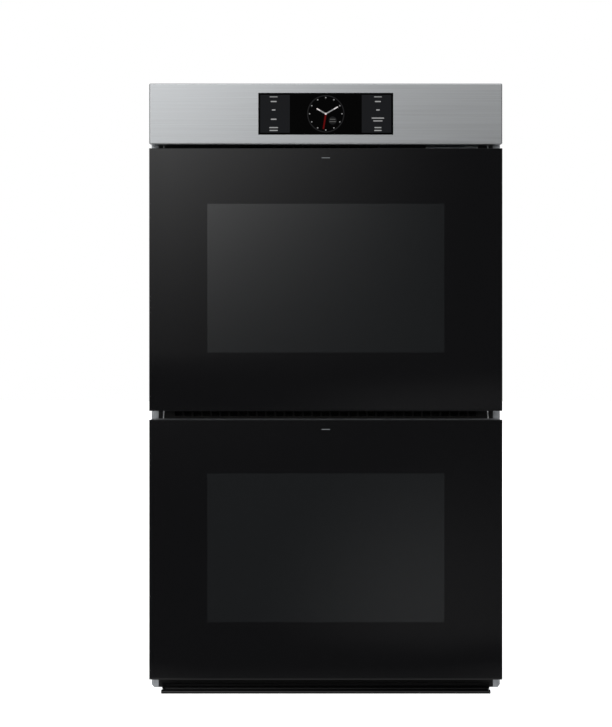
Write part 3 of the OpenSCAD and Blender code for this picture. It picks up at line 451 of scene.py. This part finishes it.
def doorPane(door):
    low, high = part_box(door + "_door_glass")
    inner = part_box(door + "_door_inner_glass")
    halfWide, halfHigh = (v / 2 * mm for v in doorGlass["windowMm"])
    middle = (inner[0].z + inner[1].z) / 2 + doorGlass["windowRiseMm"][door] * mm
    window = (-halfWide, halfWide, middle - halfHigh, middle + halfHigh)
    halfMark = doorGlass["markMm"][0] / 2 * mm
    markZ = high.z - doorGlass["markDropMm"] * mm
    markHalfH = doorGlass["markMm"][1] / 2 * mm
    bm = bmesh.new()
    addBlock(bm, low, high)
    foot = [v * mm for v in doorGlass["footMm"]]
    cut = bmesh.ops.bisect_plane(bm, geom=bm.verts[:] + bm.edges[:] + bm.faces[:],
                                 plane_co=(0, low.y, low.z + foot[1]), plane_no=(0, -foot[1], -foot[0]),
                                 clear_outer=True)
    edges = [g for g in cut["geom_cut"] if isinstance(g, bmesh.types.BMEdge)]
    bmesh.ops.contextual_create(bm, geom=edges)
    bm.normal_update()
    bmesh.ops.bevel(bm, geom=frontEdges(bm, low.y), offset=doorGlass["arrisMm"] * mm, segments=2, profile=0.5,
                    affect="EDGES", material=-1)
    cutAcross(bm, 0, [window[0], -halfMark, halfMark, window[1]])
    cutAcross(bm, 2, [window[2], window[3], markZ - markHalfH, markZ + markHalfH])
    bm.normal_update()
    for f in bm.faces:
        f.material_index = 1 if abs(f.normal.y) < doorGlass["flatCosine"] else 0
    for f in frontFaces(bm, low.y, window[:2], window[2:]):
        f.material_index = 2
    for f in frontFaces(bm, low.y, (-halfMark, halfMark), (markZ - markHalfH, markZ + markHalfH)):
        f.material_index = 3
    materials = [finishes["black_glass"], edgeFinish, windowFinish, markFinish]
    finishPiece(bm, door + "_door_pane", materials, door + "_door", [door + "_door_glass"],
                doorGlass["sharpAngle"])


print("door glass")
edgeFinish = glassEdge()
windowFinish = coatedWindowGlass()
markFinish = screenMark("litTouchMark", "#8f9396", 0.6)
for door in doorNames:
    doorPane(door)


# ---- control fascia

fascia = {
    "wallMm": 1.2,
    "foldMm": 3.0,       # outside radius of the folded edges
    "apertureGapMm": 0.3,
    "foldCosine": 0.25,  # faces that lean further than this towards a side belong to its fold
    "sharpAngle": 8,
}


def fasciaShell():
    low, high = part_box("control_fascia")
    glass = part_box("control_glass")
    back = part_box("front_frame")[0].y
    gap = fascia["apertureGapMm"] * mm
    bm = bmesh.new()
    addBlock(bm, low, (high.x, back, high.z))
    bm.normal_update()
    bmesh.ops.delete(bm, geom=[f for f in bm.faces if f.normal.y > 0.9], context="FACES")
    folded = [e for e in bm.edges if not e.is_boundary]
    bmesh.ops.bevel(bm, geom=folded, offset=fascia["foldMm"] * mm, segments=5, profile=0.5, affect="EDGES",
                    material=-1)
    xs = (glass[0].x - gap, glass[1].x + gap)
    zs = (glass[0].z - gap, glass[1].z + gap)
    cutAcross(bm, 0, xs)
    cutAcross(bm, 2, zs)
    bmesh.ops.delete(bm, geom=frontFaces(bm, low.y, xs, zs), context="FACES")
    bmesh.ops.recalc_face_normals(bm, faces=bm.faces)
    bmesh.ops.solidify(bm, geom=bm.faces[:], thickness=fascia["wallMm"] * mm)
    bm.normal_update()
    # Faces that turn towards a side take the darker colour, a painted shade on the folded ends
    for f in bm.faces:
        f.material_index = 1 if abs(f.normal.x) > fascia["foldCosine"] else 0
    materials = [finishes["brushed_steel"], paintedShadeFoldEnds]
    finishPiece(bm, "fascia_shell", materials, "chassis", ["control_fascia"],
                fascia["sharpAngle"])


def paintedLightSteel(name, low, high, metallic=1.0):
    # Satin steel whose flat colour paints light: darker for the painted shade on the fascia's folded ends,
    # near white for the painted highlights on the edges in the gaps
    # The painted highlights have little of the metal, so they read as a pale diffuse coat
    material, tree, shader = startMaterial(name, {"Metallic": metallic})
    noise = addGrain(tree, shader, {"sizeMm": (4, 4, 12), "roughness": (0.42, 0.55), "reliefMm": 0.01})
    tintBy(tree, shader, noise, "Fac", low, high)
    return material


print("control fascia")
# Darker steel colour: painted shade on the fascia's folded ends
paintedShadeFoldEnds = paintedLightSteel("paintedShadeFoldEnds", "#6c6e70", "#7b7d7f")
fasciaShell()


# ---- touch display

display = {
    "edgeMm": 0.4,
    "screenHalfMm": 77.3,   # half width of the lit screen between the two touch zones
    "borderMm": 4.0,
    "markDepthMm": 0.04,
    "layerMm": 0.01,        # marks that overlap are raised by steps of this
    "ringMm": (40.0, 2.2),
    "hourDotsMm": (34.8, 1.35),
    # Reach, half width and clockwise angle; the outer part of the first two is painted brighter
    "hands": {"hour": (21.4, 1.4, -60), "minute": (29.0, 1.3, 60), "second": (31.6, 1.7, 189.0)},
    "tipShare": 0.72,
    "hubMm": 2.2,
    "subDialMm": (14.8, -14.4, 8.6),   # right of the middle, above it, radius
    "subBarsMm": ((2.6, 10.5), (-2.4, 12.5)),
    "subBarHalfMm": 0.75,
    "columnMm": 112.0,
    # Lit bars of the two touch columns: height above the display's centre, width, bar height
    "barsMm": {
        "left": [(36.4, 17.0, 1.7), (26.4, 13.0, 2.6), (8.3, 8.0, 2.6), (-11.7, 12.5, 2.8),
                 (-29.6, 19.0, 2.4), (-35.8, 18.0, 2.4)],
        "right": [(36.4, 17.0, 1.7), (26.4, 13.0, 2.6), (8.3, 8.0, 2.6), (-9.2, 27.0, 2.4),
                  (-15.3, 20.0, 2.4), (-29.6, 15.0, 2.4), (-35.8, 16.0, 2.4)],
    },
}


def displayPane():
    low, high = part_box("control_glass")
    bm = bmesh.new()
    addBlock(bm, low, high, display["edgeMm"] * mm)
    half = display["screenHalfMm"] * mm
    border = display["borderMm"] * mm
    cutAcross(bm, 0, [low.x + border, -half, half, high.x - border])
    cutAcross(bm, 2, [low.z + border, high.z - border])
    levels = (low.z + border, high.z - border)
    for xs, index in (((low.x + border, -half), 1), ((half, high.x - border), 1), ((-half, half), 2)):
        for f in frontFaces(bm, low.y, xs, levels):
            f.material_index = index
    materials = [finishes["display_glass"], touchZone, screenBlack]
    finishPiece(bm, "display_pane", materials, "chassis", ["control_glass"])
    return low, high


def addCapsule(bm, start, end, radius, y, depth):
    # Flat bar with round ends, from one point to another in the plane of the front
    along = Vector((end[0] - start[0], 0, end[1] - start[1]))
    made = bmesh.ops.create_circle(bm, cap_ends=True, radius=radius, segments=20)["verts"]
    ahead = [v for v in made if v.co.x > 1e-9]
    bmesh.ops.translate(bm, vec=(along.length, 0, 0), verts=ahead)
    turn = Matrix.Rotation(math.pi / 2, 4, "X")
    spin = Matrix.Rotation(-math.atan2(along.z, along.x), 4, "Y")
    bmesh.ops.transform(bm, matrix=Matrix.Translation((start[0], y, start[1])) @ spin @ turn, verts=made)
    face = made[0].link_faces[0]
    pushed = bmesh.ops.extrude_face_region(bm, geom=[face])["geom"]
    moved = [g for g in pushed if isinstance(g, bmesh.types.BMVert)]
    bmesh.ops.translate(bm, vec=(0, depth, 0), verts=moved)


def addDisc(bm, x, z, radius, y, depth):
    addCapsule(bm, (x - 1e-6, z), (x, z), radius, y, depth)


def displayMarks(low, high):
    y = low.y - display["markDepthMm"] * mm
    depth = display["markDepthMm"] * mm
    layer = display["layerMm"] * mm
    dialZ = (low.z + high.z) / 2

    def onDial(radiusMm, degrees):
        a = math.radians(degrees)
        return radiusMm * mm * math.sin(a), dialZ + radiusMm * mm * math.cos(a)

    bm = bmesh.new()
    reach, dotR = display["hourDotsMm"]
    for hour in range(12):
        x, z = onDial(reach, hour * 30)
        addDisc(bm, x, z, dotR * mm, y, depth)
    finishPiece(bm, "clock_dots", [greyLight], "chassis")

    bm = bmesh.new()
    ring, band = (v * mm for v in display["ringMm"])
    corners = [bm.verts.new((x, at, dialZ)) for x, at in
               ((ring - band, y), (ring, y), (ring, y + depth), (ring - band, y + depth))]
    outline = [bm.edges.new((corners[i - 1], corners[i])) for i in range(4)]
    bmesh.ops.spin(bm, geom=corners + outline, cent=(0, 0, dialZ), axis=(0, 1, 0), dvec=(0, 0, 0),
                   angle=math.tau, steps=96, use_merge=True)
    finishPiece(bm, "clock_ring", [faintLight], "chassis")

    for order, (name, (length, radius, degrees)) in enumerate(display["hands"].items()):
        bm = bmesh.new()
        front = y - order * 2 * layer
        addCapsule(bm, (0, dialZ), onDial(length, degrees), radius * mm, front, depth)
        finishPiece(bm, "clock_hand_" + name, [redLight if name == "second" else greyLight], "chassis")
        if name != "second":
            bm = bmesh.new()
            inner = onDial(length * display["tipShare"], degrees)
            addCapsule(bm, inner, onDial(length, degrees), radius * mm, front - layer, depth)
            finishPiece(bm, "clock_tip_" + name, [whiteLight], "chassis")
    bm = bmesh.new()
    addDisc(bm, 0, dialZ, display["hubMm"] * mm, y - 8 * layer, depth)
    finishPiece(bm, "clock_hub", [whiteLight], "chassis")

    bm = bmesh.new()
    x, drop, radius = display["subDialMm"]
    addDisc(bm, x * mm, dialZ + drop * mm, radius * mm, y + 2 * layer, depth)
    finishPiece(bm, "clock_sub_dial", [subDialGrey], "chassis")
    bm = bmesh.new()
    for up, wide in display["subBarsMm"]:
        z = dialZ + (drop + up) * mm
        addCapsule(bm, ((x - wide / 2) * mm, z), ((x + wide / 2) * mm, z), display["subBarHalfMm"] * mm,
                   y - layer, depth)
    finishPiece(bm, "clock_sub_dial_bars", [dimLight], "chassis")

    bm = bmesh.new()
    for side, name in ((-1, "left"), (1, "right")):
        centre = side * display["columnMm"] * mm
        for up, wide, tall in display["barsMm"][name]:
            reach = (wide - tall) / 2 * mm
            z = dialZ + up * mm
            addCapsule(bm, (centre - reach, z), (centre + reach, z), tall / 2 * mm, y, depth)
    finishPiece(bm, "touch_column_bars", [barLight], "chassis")


print("touch display")
touchZone = screenMark("touchZoneGlass", "#1b1c1e", 0.9)
screenBlack = screenMark("screenGlass", "#000000", 0.0)
greyLight = screenMark("screenGrey", "#909090", 1.0)
faintLight = screenMark("screenFaint", "#1e1e1f", 1.0)
whiteLight = screenMark("screenWhite", "#d8d2d2", 1.0)
redLight = screenMark("screenRed", "#5c0707", 1.0)
dimLight = screenMark("screenDim", "#5e5e5c", 1.0)
subDialGrey = screenMark("screenDial", "#1a1a1b", 1.0)
barLight = screenMark("printedBar", "#9a9a9a", 1.0)
displayMarks(*displayPane())


# ---- painted highlights: bright edges inside the gaps

gapEdges = {
    "frameXMm": (352.0, 353.8),   # foot and head of each slanting fold, from the middle
    "wideMm": 2.2,
    "deepMm": 0.5,
    "hiddenMm": 6,                # how far the folds and the edging run on behind the doors
    "standOffMm": 0.02,
    "lipMm": (1.3, 3.4),          # width and rise of the edging at the ends of the reservoir's front
    "lipDeepMm": (0.4, 0.2),      # in front of the reservoir and behind its face
    "lipLeanMm": 0.4,
    "lipTopMm": 0.2,              # below the reservoir's top
    "lineDeepMm": 0.3,
}


def slantBar(bm, foot, head, wide, y):
    # Thin upright bar between two levels, leaning sideways
    made = addBlock(bm, (-0.5, 0, -0.5), (0.5, 1, 0.5))
    for v in made:
        end = head if v.co.z > 0 else foot
        v.co = Vector((end[0] + v.co.x * wide, y[0] + v.co.y * (y[1] - y[0]), end[1]))


def frameFolds():
    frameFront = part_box("front_frame")[0].y
    gaps = [(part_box(door + "_door_glass")[1].z, above) for door, above in
            (("lower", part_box("upper_door_glass")[0].z), ("upper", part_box("control_fascia")[0].z))]
    bm = bmesh.new()
    foot, head = (x * mm for x in gapEdges["frameXMm"])
    hidden = gapEdges["hiddenMm"] * mm
    depths = (frameFront - gapEdges["deepMm"] * mm, frameFront - gapEdges["standOffMm"] * mm)
    for low, high in gaps:
        for side in (-1, 1):
            slantBar(bm, (side * head, low - hidden), (side * foot, high + hidden), gapEdges["wideMm"] * mm,
                     depths)
    # Near-white finish: painted highlight along the frame's folds
    finishPiece(bm, "frame_fold_highlights", [highlightEdgeSteel], "chassis")


def reservoirEdging():
    low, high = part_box("water_reservoir")
    wide, rise = (v * mm for v in gapEdges["lipMm"])
    ahead, behind = (v * mm for v in gapEdges["lipDeepMm"])
    bm = bmesh.new()
    for side, end in ((-1, low.x), (1, high.x)):
        foot = (end - side * wide, high.z - rise - gapEdges["hiddenMm"] * mm)
        head = (end - side * (wide + gapEdges["lipLeanMm"] * mm), high.z - gapEdges["lipTopMm"] * mm)
        slantBar(bm, foot, head, wide, (low.y - ahead, low.y + behind))
    addBlock(bm, (low.x + 2 * wide, low.y - gapEdges["lineDeepMm"] * mm, high.z - rise),
             (high.x - 2 * wide, low.y + behind, high.z - 0.4 * rise))
    # Near-white finish: painted highlight on the reservoir's edging and the line below its top
    finishPiece(bm, "reservoir_edge_highlights", [highlightEdgeSteel], "reservoir_drawer")


print("gap edges")
# Near-white colour: painted highlight on the frame's folds and the reservoir's edging in the gaps
highlightEdgeSteel = paintedLightSteel("paintedHighlightEdge", "#d2d4d6", "#e2e4e6", 0.1)
frameFolds()
reservoirEdging()


# ---- screws with cross recesses

screw = {
    "headMm": 4.0,
    "riseMm": 2.2,
    "crossMm": (1.1, 4.6),   # width and length of the recess
    "recessMm": 1.3,
    "rimMm": 0.9,
    "shankMm": (1.8, 9.0),
}


def addScrew(bm, place, outwards):
    before = set(bm.verts)
    top = screw["riseMm"] * mm
    head = bmesh.ops.create_cone(bm, cap_ends=True, segments=24, radius1=screw["headMm"] * mm,
                                 radius2=screw["headMm"] * mm, depth=top)["verts"]
    bmesh.ops.translate(bm, vec=(0, 0, top / 2), verts=head)
    rim = [e for v in head for e in v.link_edges if all(abs(w.co.z - top) < weldM for w in e.verts)]
    bmesh.ops.bevel(bm, geom=list(set(rim)), offset=screw["rimMm"] * mm, segments=3, profile=0.5,
                    affect="EDGES", material=-1)
    wide, long = (v / 2 * mm for v in screw["crossMm"])
    own = [v for v in bm.verts if v not in before]
    for axis in (0, 1):
        normal = Vector((1 - axis, axis, 0))
        for value in (-long, -wide, wide, long):
            capFaces = [f for f in {f for v in own if v.is_valid for f in v.link_faces}
                        if abs(f.calc_center_median().z - top) < weldM]
            edges = list({e for f in capFaces for e in f.edges})
            points = list({v for f in capFaces for v in f.verts})
            bmesh.ops.bisect_plane(bm, geom=points + edges + capFaces, plane_co=normal * value,
                                   plane_no=normal, dist=weldM / 10)
            own = [v for v in bm.verts if v not in before]
    capFaces = {f for v in own for f in v.link_faces if abs(f.calc_center_median().z - top) < weldM}
    cross = []
    for f in capFaces:
        c = f.calc_center_median()
        if (abs(c.x) < wide and abs(c.y) < long) or (abs(c.y) < wide and abs(c.x) < long):
            cross.append(f)
    pushed = bmesh.ops.extrude_face_region(bm, geom=cross)["geom"]
    bmesh.ops.delete(bm, geom=[f for f in cross if f.is_valid], context="FACES_ONLY")
    moved = [g for g in pushed if isinstance(g, bmesh.types.BMVert)]
    bmesh.ops.translate(bm, vec=(0, 0, -screw["recessMm"] * mm), verts=moved)
    radius, length = (v * mm for v in screw["shankMm"])
    shank = bmesh.ops.create_cone(bm, cap_ends=True, segments=12, radius1=radius * 0.5, radius2=radius,
                                  depth=length)["verts"]
    bmesh.ops.translate(bm, vec=(0, 0, -length / 2), verts=shank)
    own = [v for v in bm.verts if v not in before]
    turn = Vector(outwards).to_track_quat("Z", "Y").to_matrix().to_4x4()
    bmesh.ops.transform(bm, matrix=Matrix.Translation(place) @ turn, verts=own)


def islandPlaces(node):
    # Lowest and highest corner of each separate solid of a CAD node
    bm = bmesh.new()
    bm.from_mesh(nodes[node].data)
    bmesh.ops.remove_doubles(bm, verts=bm.verts, dist=10 * weldM)
    seen, places = set(), []
    for start in bm.verts:
        if start in seen:
            continue
        stack, island = [start], []
        seen.add(start)
        while stack:
            v = stack.pop()
            island.append(v.co.copy())
            for e in v.link_edges:
                other = e.other_vert(v)
                if other not in seen:
                    seen.add(other)
                    stack.append(other)
        low = Vector([min(c[i] for c in island) for i in range(3)])
        high = Vector([max(c[i] for c in island) for i in range(3)])
        places.append((low, high))
    bm.free()
    return places


def screwSet(node, name, finish):
    # Each screw lies along its longest side, and its head is at the end nearer the outside
    bm = bmesh.new()
    for low, high in islandPlaces(node):
        size = high - low
        axis = max(range(3), key=lambda i: size[i])
        centre = (low + high) / 2
        sign = 1 if centre[axis] > 0 else -1
        outwards = Vector([sign if i == axis else 0 for i in range(3)])
        headEnd = high[axis] if sign > 0 else low[axis]
        place = centre.copy()
        place[axis] = headEnd - sign * screw["riseMm"] * mm
        addScrew(bm, place, outwards)
    finishPiece(bm, name, [finishes[finish]], "chassis", [node])


print("screws")
screwSet("panel_screws", "panel_screw_set", "screw_steel")
screwSet("trim_screws", "trim_screw_set", "black_screw")


# ---- door gaskets

gasket = {
    "widthMm": 8.0,
    "cornerMm": 26.0,
    "roundMm": 2.6,
    "rimAngle": 1.2,   # edges that turn further than this, in radians, are rounded
    "sharpAngle": 60,
}


def gasketRope():
    bm = bmesh.new()
    for low, high in islandPlaces("door_gaskets"):
        wide = gasket["widthMm"] * mm
        start = set(bm.verts)
        made = addBlock(bm, low, high)
        edges = {e for v in made for e in v.link_edges}
        corners = [e for e in edges if abs(e.verts[0].co.y - e.verts[1].co.y) > 10 * weldM]
        bmesh.ops.bevel(bm, geom=corners, offset=gasket["cornerMm"] * mm, segments=10, profile=0.5,
                        affect="EDGES", material=-1)
        bm.normal_update()
        own = {f for v in bm.verts if v not in start for f in v.link_faces}
        caps = [f for f in own if abs(f.normal.y) > 0.9]
        bmesh.ops.inset_individual(bm, faces=caps, thickness=wide, depth=0)
        holeLoops = [e for f in caps for e in f.edges]
        bmesh.ops.delete(bm, geom=caps, context="FACES_ONLY")
        bmesh.ops.bridge_loops(bm, edges=holeLoops)
        bm.normal_update()
        ring = {f for v in bm.verts if v not in start for f in v.link_faces}
        rims = [e for e in {e for f in ring for e in f.edges}
                if len(e.link_faces) == 2 and e.calc_face_angle(0) > gasket["rimAngle"]
                and abs(e.verts[0].co.y - e.verts[1].co.y) < 10 * weldM]
        bmesh.ops.bevel(bm, geom=rims, offset=gasket["roundMm"] * mm, segments=3, profile=0.5,
                        affect="EDGES", material=-1)
    finishPiece(bm, "door_gasket_ropes", [finishes["gasket"]], "chassis", ["door_gaskets"],
                gasket["sharpAngle"])


print("gaskets")
gasketRope()


# ---- studio: floor, soft cards, lamps

studio = {
    "floorM": 12.0,
    "floorGlow": 0.8,
    "cardDistanceM": 3.9,
    "cardHalfM": 5.0,
    "cardLevelsM": (-2.0, 4.5),
    # Place, point aimed at, width and height, watts
    "lamps": {
        "key_lamp": ((-2.6, -3.2, 3.4), (0, 0, 0.7), (2.5, 2.5), 90.0),
        "fill_lamp": ((3.0, -2.0, 2.4), (0, 0, 0.6), (2.0, 2.0), 30.0),
        "back_lamp": ((0.5, 3.4, 3.0), (0, 0, 0.8), (3.0, 2.0), 30.0),
    },
}


def stagePlane(name, corners, material):
    bm = bmesh.new()
    bm.faces.new([bm.verts.new(c) for c in corners])
    mesh = bpy.data.meshes.new(name)
    bm.to_mesh(mesh)
    bm.free()
    mesh.materials.append(material)
    plane = bpy.data.objects.new(name, mesh)
    bpy.context.scene.collection.objects.link(plane)
    plane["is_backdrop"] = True
    return plane


def paleFloor():
    reach = studio["floorM"] / 2
    settings = {"Base Color": linear("#f4f4f4"), "Roughness": 0.9, "Emission Color": linear("#ffffff"),
                "Emission Strength": studio["floorGlow"]}
    corners = [(-reach, -reach, 0), (reach, -reach, 0), (reach, reach, 0), (-reach, reach, 0)]
    floor = stagePlane("floor", corners, startMaterial("paleFloor", settings)[0])
    floor.visible_glossy = False


def softCard():
    # A large card behind the camera, bright at its upper left and falling off to nothing
    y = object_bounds()[0].y - studio["cardDistanceM"]
    material = bpy.data.materials.new("softCard")
    material.use_nodes = True
    tree = material.node_tree
    tree.nodes.clear()
    place = addNode(tree, "TexCoord")
    axes = addNode(tree, "SeparateXYZ", {}, {"Vector": (place, "Object")})
    across = addNode(tree, "MapRange", {"From Min": 0.75, "From Max": -0.75}, {"Value": (axes, "X")})
    acrossCurve = addNode(tree, "Math", {"operation": "POWER", 1: 1.75}, {0: (across, "Result")})
    upwards = addNode(tree, "MapRange", {"From Min": -0.5, "From Max": 1.64, "To Max": 1.11},
                      {"Value": (axes, "Z")})
    upCurve = addNode(tree, "Math", {"operation": "POWER", 1: 3.0}, {0: (upwards, "Result")})
    main = addNode(tree, "Math", {"operation": "MULTIPLY"},
                   {0: (acrossCurve, "Value"), 1: (upCurve, "Value")})
    top = addNode(tree, "MapRange", {"From Min": 1.5, "From Max": 2.2, "interpolation_type": "SMOOTHSTEP"},
                  {"Value": (axes, "Z")})
    topAcross = addNode(tree, "MapRange",
                        {"From Min": -0.9, "From Max": 0.9, "To Min": 0.80, "To Max": 1.12},
                        {"Value": (axes, "X")})
    high = addNode(tree, "Math", {"operation": "MULTIPLY"}, {0: (top, "Result"), 1: (topAcross, "Result")})
    nearby = addNode(tree, "VectorMath", {"operation": "DISTANCE", 1: (0.6, y, -0.85)},
                     {0: (place, "Object")})
    glimmer = addNode(tree, "MapRange", {"From Min": 1.0, "From Max": 0.1, "To Min": 0.02, "To Max": 0.12,
                                         "interpolation_type": "SMOOTHSTEP"}, {"Value": (nearby, "Value")})
    lower = addNode(tree, "Math", {"operation": "ADD"}, {0: (main, "Value"), 1: (glimmer, "Result")})
    total = addNode(tree, "Math", {"operation": "ADD"}, {0: (lower, "Value"), 1: (high, "Value")})
    glow = addNode(tree, "Emission", {}, {"Strength": (total, "Value")})
    addNode(tree, "OutputMaterial", {}, {"Surface": (glow, "Emission")})
    half = studio["cardHalfM"]
    foot, head = studio["cardLevelsM"]
    card = stagePlane("soft_card", [(-half, y, foot), (half, y, foot), (half, y, head), (-half, y, head)],
                      material)
    card.visible_camera = False


def areaLamp(name, place, target, size, watts):
    # Soft lamp that lights the oven but isn't mirrored in it
    data = bpy.data.lights.new(name, "AREA")
    data.shape = "RECTANGLE"
    data.size, data.size_y = size
    data.energy = watts
    lamp = bpy.data.objects.new(name, data)
    lamp.location = place
    lamp.rotation_euler = (Vector(target) - Vector(place)).to_track_quat("-Z", "Y").to_euler()
    lamp.visible_glossy = False
    bpy.context.scene.collection.objects.link(lamp)


def studioWorld():
    # White for the camera, soft grey for everything else, and dark straight in front of the doors
    world = bpy.data.worlds.new("studioWorld")
    bpy.context.scene.world = world
    world.use_nodes = True
    tree = world.node_tree
    tree.nodes.clear()
    place = addNode(tree, "TexCoord")
    axes = addNode(tree, "SeparateXYZ", {}, {"Vector": (place, "Generated")})
    facing = addNode(tree, "MapRange", {"From Min": -0.93, "From Max": -0.55, "To Min": 0.0, "To Max": 0.75,
                                        "interpolation_type": "SMOOTHSTEP"}, {"Value": (axes, "Y")})
    path = addNode(tree, "LightPath")
    ambient = addNode(tree, "Mix", {"data_type": "FLOAT", 2: 0.55},
                      {0: (path, "Is Glossy Ray"), 3: (facing, "Result")})
    level = addNode(tree, "Mix", {"data_type": "FLOAT", 3: 1.0},
                    {0: (path, "Is Camera Ray"), 2: (ambient, 0)})
    back = addNode(tree, "Background", {"Color": (1, 1, 1, 1)}, {"Strength": (level, 0)})
    addNode(tree, "OutputWorld", {}, {"Surface": (back, "Background")})


print("studio")
paleFloor()
softCard()
studioWorld()
for name, settings in studio["lamps"].items():
    areaLamp(name, *settings)


# ---- camera

view = {
    "distanceM": 3.131,     # from the front of the glass
    "eyeM": 0.9486,
    "lensMm": 72.17,
    "shift": (-0.0272, -0.1489),
    "farM": 60,
}
camera = bpy.data.objects.new("camera", bpy.data.cameras.new("camera"))
bpy.context.scene.collection.objects.link(camera)
camera.location = (0, cadBox[0].y - view["distanceM"], view["eyeM"])
camera.rotation_euler = (math.pi / 2, 0, 0)
camera.data.lens = view["lensMm"]
camera.data.shift_x, camera.data.shift_y = view["shift"]
camera.data.clip_end = view["farM"]
bpy.context.scene.camera = camera
bpy.context.scene.view_settings.view_transform = "Standard"
bpy.context.scene.view_settings.look = "None"

print("ready")
